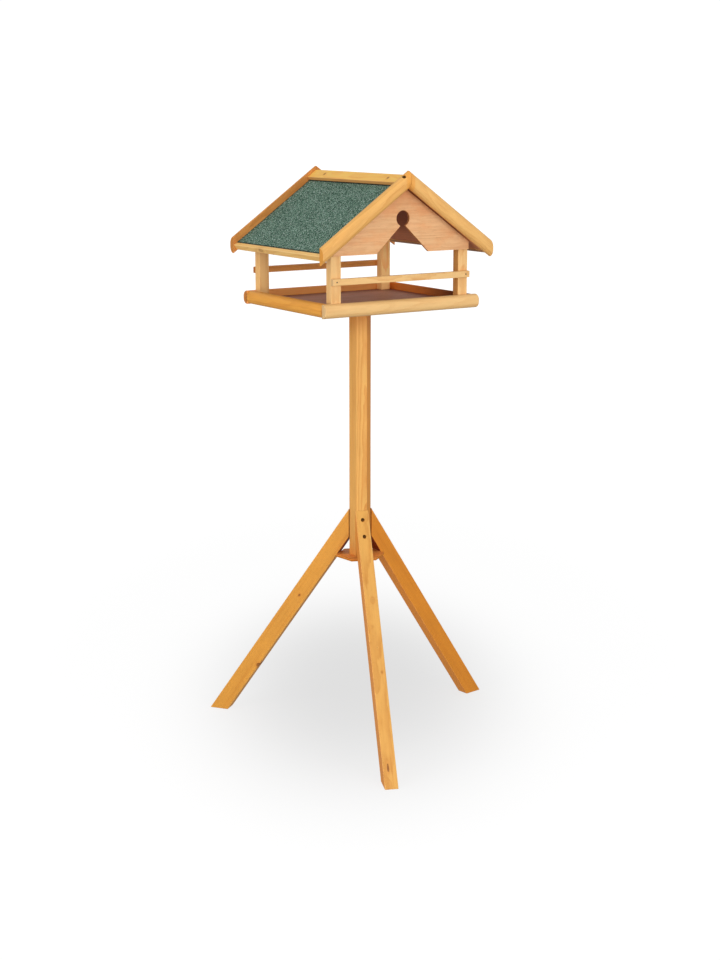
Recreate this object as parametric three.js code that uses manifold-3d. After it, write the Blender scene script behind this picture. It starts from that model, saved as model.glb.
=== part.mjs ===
// Bird table: a three-legged timber stand, a framed tray and a felted gable roof.
// Millimetres, +Z up, front towards -Y, ridge along Y.
// The finished group's origin is the middle of its footprint, on the ground.
import * as THREE from "three";
import { mergeVertices } from "three/addons/utils/BufferGeometryUtils.js";
import Module from "manifold-3d";

// Heights: the legs' tips and the tray's base above the ground, and the house above the tray's base
const LEG_TIP_HEIGHT = 489;
const TRAY_BASE_HEIGHT = 920.5;
const HOUSE_HEIGHT = 279.5;

// Stand
const POST_ACROSS_FLATS = 40;
const FOOT_REACH = 354;
const LEG_WIDTH = 28;
const LEG_DEPTH = 35;
const LEG_COUNT = 3;
const FRONT_LEG_TURN = THREE.MathUtils.degToRad(-22.5);
const HUB_BELOW_LEG_TIPS = 100;
const HUB_PLATE_THICKNESS = 4;
const TOP_PLATE_THICKNESS = 9;
const TOP_PLATE_ACROSS_FLATS = 140;
const TOP_PLATE_SCREW_CIRCLE = 50;
const UPPER_SCREW_BELOW_TIP = 18;
const LOWER_SCREW_BELOW_TIP = 49;
const SCREW_BITE_IN_POST = 13;
const SCREW_BITE_IN_POST_END = 40;

// Rounded moulding, shared by the tray boards and the barge boards
const MOULDING_HEIGHT = 28;
const MOULDING_THICKNESS = 14;
const MOULDING_ROUND = 12;

// Tray
const TRAY_SPAN = 369;
const TRAY_DEPTH = 328;
const FLOOR_THICKNESS = 12.5;
const CORNER_POST_WIDTH = 23;
const CORNER_POST_DEPTH = 18;
const CORNER_POST_FROM_SIDE_BOARD = 7.5;
const CORNER_POST_SCREW_BITE = 22;
const TOP_PLATE_SCREW_BITE = 9;

// Gable ends
const RAIL_HEIGHT = 13;
const RAIL_THICKNESS = 8;
const RAIL_CENTRE_SHARE = 0.454;
const RAIL_NAIL_FROM_END = 9;
const RAIL_NAIL_LENGTH = 18;
const GABLE_THICKNESS = 6;
const GABLE_INSET = 2;
const GABLE_SHOULDER = 16;
const NOTCH_HALF_WIDTH = 62;
const NOTCH_NECK_HALF_WIDTH = 5.9;
const NOTCH_ROUND_RADIUS = 15.5;
const NOTCH_ROUND_RISE = 67;

// Roof, with depths square to the slope from the barge boards' top edges
const ROOF_PITCH = THREE.MathUtils.degToRad(35);
const EAVES_OVERHANG = 17.5;
const GABLE_OVERHANG = 21;
const FELT_BELOW_BARGE_TOP = 14;
const FELT_THICKNESS = 2;
const ROOF_PANEL_THICKNESS = 9;
const RIDGE_STRIP_WIDTH = 27;
const RIDGE_STRIP_THICKNESS = 7.5;
const RIDGE_NAIL_FROM_EDGE = 14;
const RIDGE_NAIL_FROM_END = 52;
const RIDGE_NAIL_LENGTH = 14;
const BATTEN_WIDTH = 9;
const BATTEN_HEIGHT = 12.6;
const BATTEN_SETBACK = 1.1;
const BARGE_SCREW_FROM_APEX = 18;
const BARGE_SCREW_UP_THE_ROUND = THREE.MathUtils.degToRad(60);
const BARGE_SCREW_SUNK = 2;
const BARGE_SCREW_LENGTH = 22;
const BARGE_SCREW_TILT = THREE.MathUtils.degToRad(45);

// Fasteners
const SCREW_HEAD_RADIUS = 3.8;
const SCREW_SHANK_RADIUS = 2;
const SCREW_POINT = 4;
const NAIL_HEAD_RADIUS = 1.5;
const NAIL_SHANK_RADIUS = 0.9;
const NAIL_POINT = 2;

// Fit and finish
const SEAT_GAP = 0.3;
const EASED_EDGE = 0.8;
const CUT_OVERRUN = 20;
const ROUND_STEPS = 8;
const NOTCH_STEPS = 24;
const FASTENER_STEPS = 14;
const MERGE_TOLERANCE = 1e-4;

// Worked out from the sizes above
const apexHeight = TRAY_BASE_HEIGHT + HOUSE_HEIGHT;
const postApothem = POST_ACROSS_FLATS / 2;
const legRoot = postApothem + SEAT_GAP;
const legSplay = Math.atan2(FOOT_REACH - legRoot, LEG_TIP_HEIGHT);
const hubTop = LEG_TIP_HEIGHT - HUB_BELOW_LEG_TIPS;
const postTop = TRAY_BASE_HEIGHT - TOP_PLATE_THICKNESS - 2 * SEAT_GAP;
const trayInnerSpan = TRAY_SPAN - 2 * MOULDING_THICKNESS;
const trayInnerDepth = TRAY_DEPTH - 2 * MOULDING_THICKNESS;
const floorTop = TRAY_BASE_HEIGHT + FLOOR_THICKNESS;
const cornerPostOuterX = trayInnerSpan / 2 - CORNER_POST_FROM_SIDE_BOARD;
const cornerPostOuterY = trayInnerDepth / 2 - SEAT_GAP;
const cornerPostCentreX = cornerPostOuterX - CORNER_POST_WIDTH / 2;
const cornerPostCentreY = cornerPostOuterY - CORNER_POST_DEPTH / 2;
const roofHalfSpan = TRAY_SPAN / 2 + EAVES_OVERHANG;
const roofInnerDepth = TRAY_DEPTH + 2 * (GABLE_OVERHANG - MOULDING_THICKNESS);
const pitchSlope = Math.tan(ROOF_PITCH);
const panelTop = FELT_BELOW_BARGE_TOP + FELT_THICKNESS + SEAT_GAP;
const panelUnderside = panelTop + ROOF_PANEL_THICKNESS;
const stripTop = FELT_BELOW_BARGE_TOP - SEAT_GAP - RIDGE_STRIP_THICKNESS;
const battenOuter = (roofHalfSpan - BATTEN_SETBACK) / Math.cos(ROOF_PITCH) + FELT_BELOW_BARGE_TOP * pitchSlope;
const battenInner = battenOuter - BATTEN_WIDTH;

// Materials

function finish(colour, roughness, metalness) {
  return new THREE.MeshStandardMaterial({ color: colour, roughness, metalness });
}

const STAINED_WOOD = { colour: 0xd99a4e, roughness: 0.6, metalness: 0 };
const PLYWOOD = { colour: 0xc98f62, roughness: 0.65, metalness: 0 };
const ROOF_FELT = { colour: 0x5c7568, roughness: 0.95, metalness: 0 };
const SCREW_STEEL = { colour: 0x4a3426, roughness: 0.45, metalness: 0.8 };

function piece(name, geometry, look) {
  const mesh = new THREE.Mesh(geometry, finish(look.colour, look.roughness, look.metalness));
  mesh.name = name;
  return mesh;
}

// Solids: joins and cuts

const manifold = await Module();
manifold.setup();

function toSolid(geometry) {
  const bare = geometry.clone();
  bare.deleteAttribute("normal");
  bare.deleteAttribute("uv");
  const merged = mergeVertices(bare, MERGE_TOLERANCE);
  const vertProperties = new Float32Array(merged.attributes.position.array);
  const triVerts = new Uint32Array(merged.index.array);
  return new manifold.Manifold(new manifold.Mesh({ numProp: 3, vertProperties, triVerts }));
}

function toGeometry(solid) {
  const mesh = solid.getMesh();
  const geometry = new THREE.BufferGeometry();
  geometry.setAttribute("position", new THREE.BufferAttribute(new Float32Array(mesh.vertProperties), 3));
  geometry.setIndex(new THREE.BufferAttribute(new Uint32Array(mesh.triVerts), 1));
  const faceted = geometry.toNonIndexed();
  faceted.computeVertexNormals();
  return faceted;
}

// Takes the room that each fastener needs out of a piece's geometry.
function bored(geometry, fasteners) {
  let solid = toSolid(geometry);
  for (const fastener of fasteners) {
    const bore = toSolid(fastener.bore);
    solid = solid.subtract(bore);
  }
  return toGeometry(solid);
}

// Forms

function outline(points) {
  return new THREE.Shape(points.map(([x, y]) => new THREE.Vector2(x, y)));
}

// A flat piece cut to an outline in X and Z, its thickness centred on Y, its long edges eased.
function slab(shape, thickness, ease) {
  const geometry = new THREE.ExtrudeGeometry(shape, {
    depth: thickness - 2 * ease,
    bevelEnabled: ease > 0,
    bevelThickness: ease,
    bevelSize: ease,
    bevelOffset: -ease,
    bevelSegments: 1,
    curveSegments: NOTCH_STEPS,
  });
  geometry.translate(0, 0, ease - thickness / 2);
  geometry.rotateX(Math.PI / 2);
  return geometry;
}

// A rectangular bar or panel between two opposite corners.
function block(low, high) {
  const size = new THREE.Vector3().subVectors(high, low);
  const centre = new THREE.Vector3().addVectors(low, high).multiplyScalar(0.5);
  const geometry = new THREE.BoxGeometry(size.x, size.y, size.z);
  geometry.translate(centre.x, centre.y, centre.z);
  return geometry;
}

// A hexagonal bar or plate standing on z = base, one flat towards -Y.
function hexagon(acrossFlats, base, height) {
  const circumradius = acrossFlats / 2 / Math.cos(Math.PI / 6);
  const corners = [0, 1, 2, 3, 4, 5].map((index) => {
    const angle = ((index + 0.5) * Math.PI) / 3 - Math.PI / 2;
    return [circumradius * Math.cos(angle), circumradius * Math.sin(angle)];
  });
  const geometry = new THREE.ExtrudeGeometry(outline(corners), { depth: height, bevelEnabled: false });
  geometry.translate(0, 0, base);
  return geometry;
}

// A length of the rounded moulding, centred on X. Its flat back is y = 0, its round side faces -Y,
// and its lower edge is z = 0.
function moulding(length) {
  const flat = MOULDING_THICKNESS - MOULDING_ROUND;
  const profile = new THREE.Shape();
  profile.moveTo(0, 0);
  profile.lineTo(flat, 0);
  profile.absarc(flat, MOULDING_ROUND, MOULDING_ROUND, -Math.PI / 2, 0, false);
  profile.absarc(flat, MOULDING_HEIGHT - MOULDING_ROUND, MOULDING_ROUND, 0, Math.PI / 2, false);
  profile.lineTo(0, MOULDING_HEIGHT);
  const geometry = new THREE.ExtrudeGeometry(profile, {
    depth: length,
    bevelEnabled: false,
    curveSegments: ROUND_STEPS,
  });
  geometry.translate(0, 0, -length / 2);
  const across = new THREE.Vector3(0, -1, 0);
  const upwards = new THREE.Vector3(0, 0, 1);
  const along = new THREE.Vector3(-1, 0, 0);
  geometry.applyMatrix4(new THREE.Matrix4().makeBasis(across, upwards, along));
  return geometry;
}

// Fasteners: a countersunk head at the origin, the shank towards -Z. The bore is the same outline
// grown by the seat gap, and open above the head.

const SCREW = { headRadius: SCREW_HEAD_RADIUS, shankRadius: SCREW_SHANK_RADIUS, point: SCREW_POINT };
const NAIL = { headRadius: NAIL_HEAD_RADIUS, shankRadius: NAIL_SHANK_RADIUS, point: NAIL_POINT };

function turned(profile) {
  const points = profile.map(([radius, height]) => new THREE.Vector2(radius, height));
  const geometry = new THREE.LatheGeometry(points, FASTENER_STEPS);
  geometry.rotateX(Math.PI / 2);
  return geometry;
}

function fastenerForm(kind, length) {
  const cone = kind.headRadius - kind.shankRadius;
  return turned([
    [0, -length],
    [kind.shankRadius, kind.point - length],
    [kind.shankRadius, -cone],
    [kind.headRadius, 0],
    [0, 0],
  ]);
}

function boreForm(kind, length) {
  const cone = kind.headRadius - kind.shankRadius;
  const drop = SEAT_GAP * (Math.SQRT2 - 1);
  return turned([
    [0, -length - SEAT_GAP],
    [kind.shankRadius + SEAT_GAP, kind.point - length - SEAT_GAP],
    [kind.shankRadius + SEAT_GAP, -cone - drop],
    [kind.headRadius + SEAT_GAP, -drop],
    [kind.headRadius + SEAT_GAP, CUT_OVERRUN],
    [0, CUT_OVERRUN],
  ]);
}

// A screw or nail whose head lies at a point and whose shank runs along a heading.
function driven(name, kind, length, head, heading) {
  const mesh = piece(name, fastenerForm(kind, length), SCREW_STEEL);
  mesh.position.copy(head);
  mesh.quaternion.setFromUnitVectors(new THREE.Vector3(0, 0, -1), heading.clone().normalize());
  mesh.updateMatrix();
  const bore = boreForm(kind, length).applyMatrix4(mesh.matrix);
  return { mesh, bore };
}

// Stand

// Radius of a leg's outer face at a height, in the leg's own upright plane.
function legFace(height) {
  return legRoot + (LEG_TIP_HEIGHT - height) * Math.tan(legSplay);
}

// Both screws of a leg run level into the post, heads sunk just below the sloping face.
function legScrews(name) {
  const inwards = new THREE.Vector3(0, 1, 0);
  const heights = { upper: UPPER_SCREW_BELOW_TIP, lower: LOWER_SCREW_BELOW_TIP };
  return Object.entries(heights).map(([place, below]) => {
    const height = LEG_TIP_HEIGHT - below;
    const headAt = legFace(height + SCREW_HEAD_RADIUS);
    const length = headAt - postApothem + SCREW_BITE_IN_POST;
    const head = new THREE.Vector3(0, -headAt, height);
    return driven(`${name}_${place}_screw`, SCREW, length, head, inwards);
  });
}

// A square-edged bar in the plane x = 0, leaning out towards -Y: its top is scarfed upright against
// the post's flat and its foot is cut level.
function legForm() {
  const alongGround = LEG_DEPTH / Math.cos(legSplay);
  const alongPost = LEG_DEPTH / Math.sin(legSplay);
  const side = outline([
    [legRoot, LEG_TIP_HEIGHT],
    [legRoot, LEG_TIP_HEIGHT - alongPost],
    [FOOT_REACH - alongGround, 0],
    [FOOT_REACH, 0],
  ]);
  const geometry = slab(side, LEG_WIDTH, EASED_EDGE);
  geometry.rotateZ(-Math.PI / 2);
  return geometry;
}

function buildLeg(name, screws) {
  const group = new THREE.Group();
  group.add(piece(name, bored(legForm(), screws), STAINED_WOOD));
  group.add(...screws.map((screw) => screw.mesh));
  return group;
}

// The plate's edges touch the legs' inner faces at the plate's top.
function buildHubPlate(hubScrew) {
  const innerFace = legFace(hubTop) - LEG_DEPTH / Math.cos(legSplay);
  const acrossFlats = 2 * (innerFace - SEAT_GAP / Math.cos(legSplay));
  const geometry = hexagon(acrossFlats, hubTop - HUB_PLATE_THICKNESS, HUB_PLATE_THICKNESS);
  return piece("hub_plate", bored(geometry, [hubScrew]), PLYWOOD);
}

function topPlateScrews() {
  const upwards = new THREE.Vector3(0, 0, 1);
  const length = TOP_PLATE_THICKNESS + SEAT_GAP + TOP_PLATE_SCREW_BITE;
  const height = TRAY_BASE_HEIGHT - SEAT_GAP - TOP_PLATE_THICKNESS;
  return [1, 2, 3].map((number) => {
    const angle = (number * 2 * Math.PI) / 3;
    const x = TOP_PLATE_SCREW_CIRCLE * Math.cos(angle);
    const y = TOP_PLATE_SCREW_CIRCLE * Math.sin(angle);
    return driven(`top_plate_screw_${number}`, SCREW, length, new THREE.Vector3(x, y, height), upwards);
  });
}

function buildTopPlate(fasteners) {
  const base = TRAY_BASE_HEIGHT - SEAT_GAP - TOP_PLATE_THICKNESS;
  const geometry = hexagon(TOP_PLATE_ACROSS_FLATS, base, TOP_PLATE_THICKNESS);
  return piece("top_plate", bored(geometry, fasteners), PLYWOOD);
}

function buildStand(plateScrews) {
  const stand = new THREE.Group();
  const down = new THREE.Vector3(0, 0, -1);
  const up = new THREE.Vector3(0, 0, 1);
  const topScrewLength = TOP_PLATE_THICKNESS + SCREW_BITE_IN_POST_END;
  const hubScrewLength = HUB_PLATE_THICKNESS + SCREW_BITE_IN_POST_END;
  const topScrewHead = new THREE.Vector3(0, 0, TRAY_BASE_HEIGHT - 2 * SEAT_GAP);
  const hubScrewHead = new THREE.Vector3(0, 0, hubTop - HUB_PLATE_THICKNESS);
  const topScrew = driven("post_top_screw", SCREW, topScrewLength, topScrewHead, down);
  const hubScrew = driven("hub_screw", SCREW, hubScrewLength, hubScrewHead, up);

  const postBores = [topScrew, hubScrew];
  const legNames = ["leg_front", "leg_right", "leg_left"];
  legNames.forEach((name, index) => {
    const turn = (index * 2 * Math.PI) / LEG_COUNT;
    const screws = legScrews(name);
    const leg = buildLeg(name, screws);
    leg.rotation.z = turn;
    stand.add(leg);
    postBores.push(...screws.map((screw) => ({ bore: screw.bore.clone().rotateZ(turn) })));
  });

  const postBase = hubTop + SEAT_GAP;
  const post = hexagon(POST_ACROSS_FLATS, postBase, postTop - postBase);
  stand.add(piece("post", bored(post, postBores), STAINED_WOOD));
  stand.add(buildHubPlate(hubScrew));
  stand.add(buildTopPlate([topScrew, ...plateScrews]));
  stand.add(topScrew.mesh, hubScrew.mesh);
  stand.add(...plateScrews.map((screw) => screw.mesh));
  return stand;
}

// Tray

// The front and back boards run the whole span, and the side boards fit between their flat backs.
function buildTrayBoards() {
  const sideLength = trayInnerDepth - 2 * SEAT_GAP;
  const boards = [
    { name: "tray_board_front", length: TRAY_SPAN, x: 0, y: -trayInnerDepth / 2, turn: 0 },
    { name: "tray_board_right", length: sideLength, x: trayInnerSpan / 2, y: 0, turn: Math.PI / 2 },
    { name: "tray_board_back", length: TRAY_SPAN, x: 0, y: trayInnerDepth / 2, turn: Math.PI },
    { name: "tray_board_left", length: sideLength, x: -trayInnerSpan / 2, y: 0, turn: -Math.PI / 2 },
  ];
  return boards.map(({ name, length, x, y, turn }) => {
    const board = piece(name, moulding(length), STAINED_WOOD);
    board.position.set(x, y, TRAY_BASE_HEIGHT);
    board.rotation.z = turn;
    return board;
  });
}

function buildFloor(fasteners) {
  const halfSpan = trayInnerSpan / 2 - SEAT_GAP;
  const halfDepth = trayInnerDepth / 2 - SEAT_GAP;
  const low = new THREE.Vector3(-halfSpan, -halfDepth, TRAY_BASE_HEIGHT);
  const high = new THREE.Vector3(halfSpan, halfDepth, floorTop);
  return piece("floor_panel", bored(block(low, high), fasteners), PLYWOOD);
}

// Height of the roof panels' underside, less the seat gap, over a distance from the ridge.
function underRoof(distance) {
  return apexHeight - (panelUnderside + SEAT_GAP) / Math.cos(ROOF_PITCH) - distance * pitchSlope;
}

// The post's top is bevelled to the slope of the roof over it. side is -1 for left, 1 for right.
function cornerPostForm(side, end) {
  const outer = cornerPostOuterX;
  const inner = cornerPostOuterX - CORNER_POST_WIDTH;
  const base = floorTop + SEAT_GAP;
  const face = outline([
    [side * outer, base],
    [side * outer, underRoof(outer)],
    [side * inner, underRoof(inner)],
    [side * inner, base],
  ]);
  const geometry = slab(face, CORNER_POST_DEPTH, EASED_EDGE);
  geometry.translate(0, end * cornerPostCentreY, 0);
  return geometry;
}

function cornerPostScrew(name, side, end) {
  const length = FLOOR_THICKNESS + SEAT_GAP + CORNER_POST_SCREW_BITE;
  const head = new THREE.Vector3(side * cornerPostCentreX, end * cornerPostCentreY, TRAY_BASE_HEIGHT);
  return driven(name, SCREW, length, head, new THREE.Vector3(0, 0, 1));
}

// Gable ends

const gableHalfSpan = cornerPostOuterX - GABLE_INSET;
const gableBase = underRoof(gableHalfSpan) - GABLE_SHOULDER;

// The rails lie part of the way up the clear height between the tray boards and the gables.
const trayBoardTop = TRAY_BASE_HEIGHT + MOULDING_HEIGHT;
const railCentre = trayBoardTop + RAIL_CENTRE_SHARE * (gableBase - trayBoardTop);

function railNail(name, side, end) {
  const x = side * (cornerPostOuterX - RAIL_NAIL_FROM_END);
  const y = end * (cornerPostOuterY + SEAT_GAP + RAIL_THICKNESS);
  const head = new THREE.Vector3(x, y, railCentre);
  return driven(name, NAIL, RAIL_NAIL_LENGTH, head, new THREE.Vector3(0, -end, 0));
}

function buildRail(name, end, nails) {
  const lower = railCentre - RAIL_HEIGHT / 2;
  const upper = railCentre + RAIL_HEIGHT / 2;
  const face = outline([
    [-cornerPostOuterX, lower],
    [cornerPostOuterX, lower],
    [cornerPostOuterX, upper],
    [-cornerPostOuterX, upper],
  ]);
  const geometry = slab(face, RAIL_THICKNESS, EASED_EDGE);
  geometry.translate(0, end * (cornerPostOuterY + SEAT_GAP + RAIL_THICKNESS / 2), 0);
  return piece(name, bored(geometry, nails), STAINED_WOOD);
}

// A notch rises from the gable's lower edge, narrows to a neck and opens into a round.
function gableOutline() {
  const half = gableHalfSpan;
  const shoulder = underRoof(half);
  const base = gableBase;
  const roundCentre = base + NOTCH_ROUND_RISE;
  const neckAngle = Math.asin(NOTCH_NECK_HALF_WIDTH / NOTCH_ROUND_RADIUS);
  const shape = new THREE.Shape();
  shape.moveTo(half, base);
  shape.lineTo(half, shoulder);
  shape.lineTo(0, underRoof(0));
  shape.lineTo(-half, shoulder);
  shape.lineTo(-half, base);
  shape.lineTo(-NOTCH_HALF_WIDTH, base);
  const from = -Math.PI / 2 - neckAngle;
  const to = -Math.PI / 2 + neckAngle;
  shape.absarc(0, roundCentre, NOTCH_ROUND_RADIUS, from, to, true);
  shape.lineTo(NOTCH_HALF_WIDTH, base);
  return shape;
}

function buildGable(name, end) {
  const geometry = slab(gableOutline(), GABLE_THICKNESS, 0);
  geometry.translate(0, end * (cornerPostOuterY + SEAT_GAP + GABLE_THICKNESS / 2), 0);
  return piece(name, geometry, PLYWOOD);
}

function buildTrayAndGables(plateScrews) {
  const group = new THREE.Group();
  const floorBores = [...plateScrews];
  for (const [endName, end] of [["front", -1], ["back", 1]]) {
    const nails = [];
    for (const [sideName, side] of [["left", -1], ["right", 1]]) {
      const screw = cornerPostScrew(`corner_post_screw_${endName}_${sideName}`, side, end);
      const nail = railNail(`rail_nail_${endName}_${sideName}`, side, end);
      const post = bored(cornerPostForm(side, end), [screw, nail]);
      group.add(piece(`corner_post_${endName}_${sideName}`, post, STAINED_WOOD));
      group.add(screw.mesh, nail.mesh);
      floorBores.push(screw);
      nails.push(nail);
    }
    group.add(buildRail(`rail_${endName}`, end, nails));
    group.add(buildGable(`gable_${endName}`, end));
  }
  group.add(...buildTrayBoards(), buildFloor(floorBores));
  return group;
}

// Roof. Each slope is built flat in a group that is then tilted: X runs down the slope from the
// apex, Y along the ridge, and -Z is the depth below the barge boards' top edges.

// Where an upright plane, so far out from the ridge, cuts a depth below the barge boards' tops.
function plumb(fromRidge, depth) {
  return fromRidge / Math.cos(ROOF_PITCH) + depth * pitchSlope;
}

// A layer of the slope between two depths, cut plumb at the ridge and square at its lower edge.
function slopeLayer(top, thickness, lowerEdge) {
  const bottom = top + thickness;
  const section = outline([
    [plumb(SEAT_GAP / 2, bottom), -bottom],
    [lowerEdge, -bottom],
    [lowerEdge, -top],
    [plumb(SEAT_GAP / 2, top), -top],
  ]);
  return slab(section, roofInnerDepth - 2 * SEAT_GAP, 0);
}

function ridgeNail(name, end) {
  const down = plumb(0, stripTop) + RIDGE_NAIL_FROM_EDGE;
  const head = new THREE.Vector3(down, end * (roofInnerDepth / 2 - RIDGE_NAIL_FROM_END), -stripTop);
  return driven(name, NAIL, RIDGE_NAIL_LENGTH, head, new THREE.Vector3(0, 0, -1));
}

// The screw enters the moulding's upper round, sunk below it, and leans down into strip and panel.
function bargeScrew(name, end) {
  const proud = MOULDING_THICKNESS - MOULDING_ROUND * (1 - Math.cos(BARGE_SCREW_UP_THE_ROUND));
  const depth = MOULDING_ROUND * (1 - Math.sin(BARGE_SCREW_UP_THE_ROUND));
  const heading = new THREE.Vector3(0, -end * Math.cos(BARGE_SCREW_TILT), -Math.sin(BARGE_SCREW_TILT));
  const head = new THREE.Vector3(BARGE_SCREW_FROM_APEX, end * (roofInnerDepth / 2 + proud), -depth);
  head.addScaledVector(heading, BARGE_SCREW_SUNK);
  return driven(name, SCREW, BARGE_SCREW_LENGTH, head, heading);
}

// The moulding skewed so that both its ends stand plumb, its flat back towards the panel's edge.
function bargeBoardForm(end) {
  const upper = plumb(SEAT_GAP / 2, 0);
  const lower = plumb(roofHalfSpan, 0);
  const geometry = moulding(lower - upper);
  if (end > 0) geometry.rotateZ(Math.PI);
  geometry.translate((upper + lower) / 2, (end * roofInnerDepth) / 2, -MOULDING_HEIGHT);
  const skew = new THREE.Matrix4().set(1, 0, -pitchSlope, 0, 0, 1, 0, 0, 0, 0, 1, 0, 0, 0, 0, 1);
  geometry.applyMatrix4(skew);
  return geometry;
}

function buildSlope(side, screwEnd, ends) {
  const slope = new THREE.Group();
  const nails = ends.map(({ name, end }) => ridgeNail(`ridge_nail_${side}_${name}`, end));
  const screw = bargeScrew(`barge_screw_${screwEnd.name}`, screwEnd.end);
  const feltEdge = battenInner - SEAT_GAP;
  const layers = [
    ["roof_panel", slopeLayer(panelTop, ROOF_PANEL_THICKNESS, feltEdge), PLYWOOD],
    ["roof_felt", slopeLayer(FELT_BELOW_BARGE_TOP, FELT_THICKNESS, feltEdge), ROOF_FELT],
    [
      "ridge_strip",
      slopeLayer(stripTop, RIDGE_STRIP_THICKNESS, plumb(0, stripTop) + RIDGE_STRIP_WIDTH),
      STAINED_WOOD,
    ],
  ];
  for (const [name, geometry, look] of layers) {
    slope.add(piece(`${name}_${side}`, bored(geometry, [screw, ...nails]), look));
  }
  const batten = outline([
    [battenInner, -FELT_BELOW_BARGE_TOP - BATTEN_HEIGHT],
    [battenOuter, -FELT_BELOW_BARGE_TOP - BATTEN_HEIGHT],
    [battenOuter, -FELT_BELOW_BARGE_TOP],
    [battenInner, -FELT_BELOW_BARGE_TOP],
  ]);
  const battenForm = slab(batten, roofInnerDepth - 2 * SEAT_GAP, 0);
  slope.add(piece(`eaves_batten_${side}`, battenForm, STAINED_WOOD));
  for (const { name, end } of ends) {
    const form = bargeBoardForm(end);
    const geometry = end === screwEnd.end ? bored(form, [screw]) : form;
    slope.add(piece(`barge_board_${name}_${side}`, geometry, STAINED_WOOD));
  }
  slope.add(screw.mesh, ...nails.map((nail) => nail.mesh));
  slope.rotation.y = ROOF_PITCH;
  return slope;
}

// The left slope is the right one turned half round, so the ends' names change places.
function buildRoof() {
  const roof = new THREE.Group();
  const front = { name: "front", end: -1 };
  const back = { name: "back", end: 1 };
  const right = buildSlope("right", back, [front, back]);
  const turnedFront = { name: "front", end: 1 };
  const turnedBack = { name: "back", end: -1 };
  const left = new THREE.Group();
  left.add(buildSlope("left", turnedFront, [turnedFront, turnedBack]));
  left.rotation.z = Math.PI;
  roof.add(right, left);
  roof.position.z = apexHeight;
  return roof;
}

// The whole table

const standTurn = FRONT_LEG_TURN;
const plateScrews = topPlateScrews();
const plateScrewsOnFloor = plateScrews.map((screw) => ({ bore: screw.bore.clone().rotateZ(standTurn) }));

const birdTable = new THREE.Group();
birdTable.name = "bird_table";
const stand = buildStand(plateScrews);
stand.rotation.z = standTurn;
birdTable.add(stand, buildTrayAndGables(plateScrewsOnFloor), buildRoof());

const bounds = new THREE.Box3().setFromObject(birdTable);
const middle = bounds.getCenter(new THREE.Vector3());
birdTable.position.set(-middle.x, -middle.y, -bounds.min.z);

export default birdTable;
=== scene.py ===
"""Looks of a bird table: a splayed three-legged stand, a framed tray and a felted gable roof.

Every length is in metres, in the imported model's frame: +Z up, front towards -Y, ridge along Y.
"""

import logging
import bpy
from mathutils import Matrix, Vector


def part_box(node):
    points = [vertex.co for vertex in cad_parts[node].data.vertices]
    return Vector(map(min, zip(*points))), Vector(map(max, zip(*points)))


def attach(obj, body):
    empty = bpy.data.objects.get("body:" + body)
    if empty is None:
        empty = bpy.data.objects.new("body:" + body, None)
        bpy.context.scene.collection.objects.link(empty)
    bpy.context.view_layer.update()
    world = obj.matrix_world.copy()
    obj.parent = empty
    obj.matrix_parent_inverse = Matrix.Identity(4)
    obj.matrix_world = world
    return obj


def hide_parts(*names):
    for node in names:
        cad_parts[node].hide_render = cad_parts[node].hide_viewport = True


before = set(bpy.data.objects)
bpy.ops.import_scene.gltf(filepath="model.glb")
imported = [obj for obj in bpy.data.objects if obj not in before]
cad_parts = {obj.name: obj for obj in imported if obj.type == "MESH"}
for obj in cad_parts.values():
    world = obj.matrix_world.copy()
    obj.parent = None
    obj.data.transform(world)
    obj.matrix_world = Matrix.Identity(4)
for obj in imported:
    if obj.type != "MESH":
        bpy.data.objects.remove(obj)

import zlib
from dataclasses import dataclass, field, replace
from enum import Enum
from math import asin, atan2, copysign, cos, pi, radians, sin, tan
from typing import Any, Callable, ClassVar, Sequence

import bpy
import numpy as np
from mathutils import Matrix, Vector

MM = 0.001
ROOT = "root"
LOG = logging.getLogger("bird_table")

# Faces that meet at less than this are shaded as one surface
SMOOTH_BELOW = radians(40)
# How far the points beside an arc stand in, so that no four points of a cut end lie in line
SHY = 0.001 * MM
# How pieces are turned while holes are cut in them
ODD_TURN = Matrix.Rotation(radians(17), 4, Vector((1, 2, 3)))
# The most that the plane's marks take off coarse, usual and fine timbers
COARSE, USUAL, FINE = 0.18 * MM, 0.15 * MM, 0.12 * MM

Array = np.ndarray
Numbers = Sequence[float]
Pair = tuple[float, float]
# A colour as seen on a screen, each channel 0 to 255
Colour = tuple[float, float, float]
Socket = bpy.types.NodeSocket


class Slot(Enum):
    """The record's material slots."""

    STAINED_WOOD = "stained_wood"
    PLYWOOD = "plywood"
    ROOF_FELT = "roof_felt"
    SCREW_STEEL = "screw_steel"


class Word(Enum):
    """A choice whose word stands in the pieces' names."""

    def __str__(self) -> str:
        """The choice in lower case."""
        return self.name.lower()


class Side(Word):
    """Left and right of the ridge, as the sign of X."""

    LEFT = -1
    RIGHT = 1


class End(Word):
    """Front and back of the house, as the sign of Y."""

    FRONT = -1
    BACK = 1


def linear(*colour: float) -> tuple[float, ...]:
    """Turns a screen colour into scene light.

    Args:
        colour: its channels as seen on a screen, 0 to 255.

    Returns:
        The channels as linear light, 0 to 1.
    """
    shares = [channel / 255 for channel in colour]
    return tuple(s / 12.92 if s <= 0.04045 else ((s + 0.055) / 1.055) ** 2.4 for s in shares)


def luck(name: str) -> np.random.Generator:
    """The random numbers that belong to a name, the same in each run."""
    return np.random.default_rng(zlib.crc32(name.encode()))


def unit(x: float, y: float, z: float) -> Array:
    """A vector as an array."""
    return np.array([x, y, z], float)


RIGHT, BACKWARDS, UP = unit(1, 0, 0), unit(0, 1, 0), unit(0, 0, 1)


# Shaders


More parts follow.
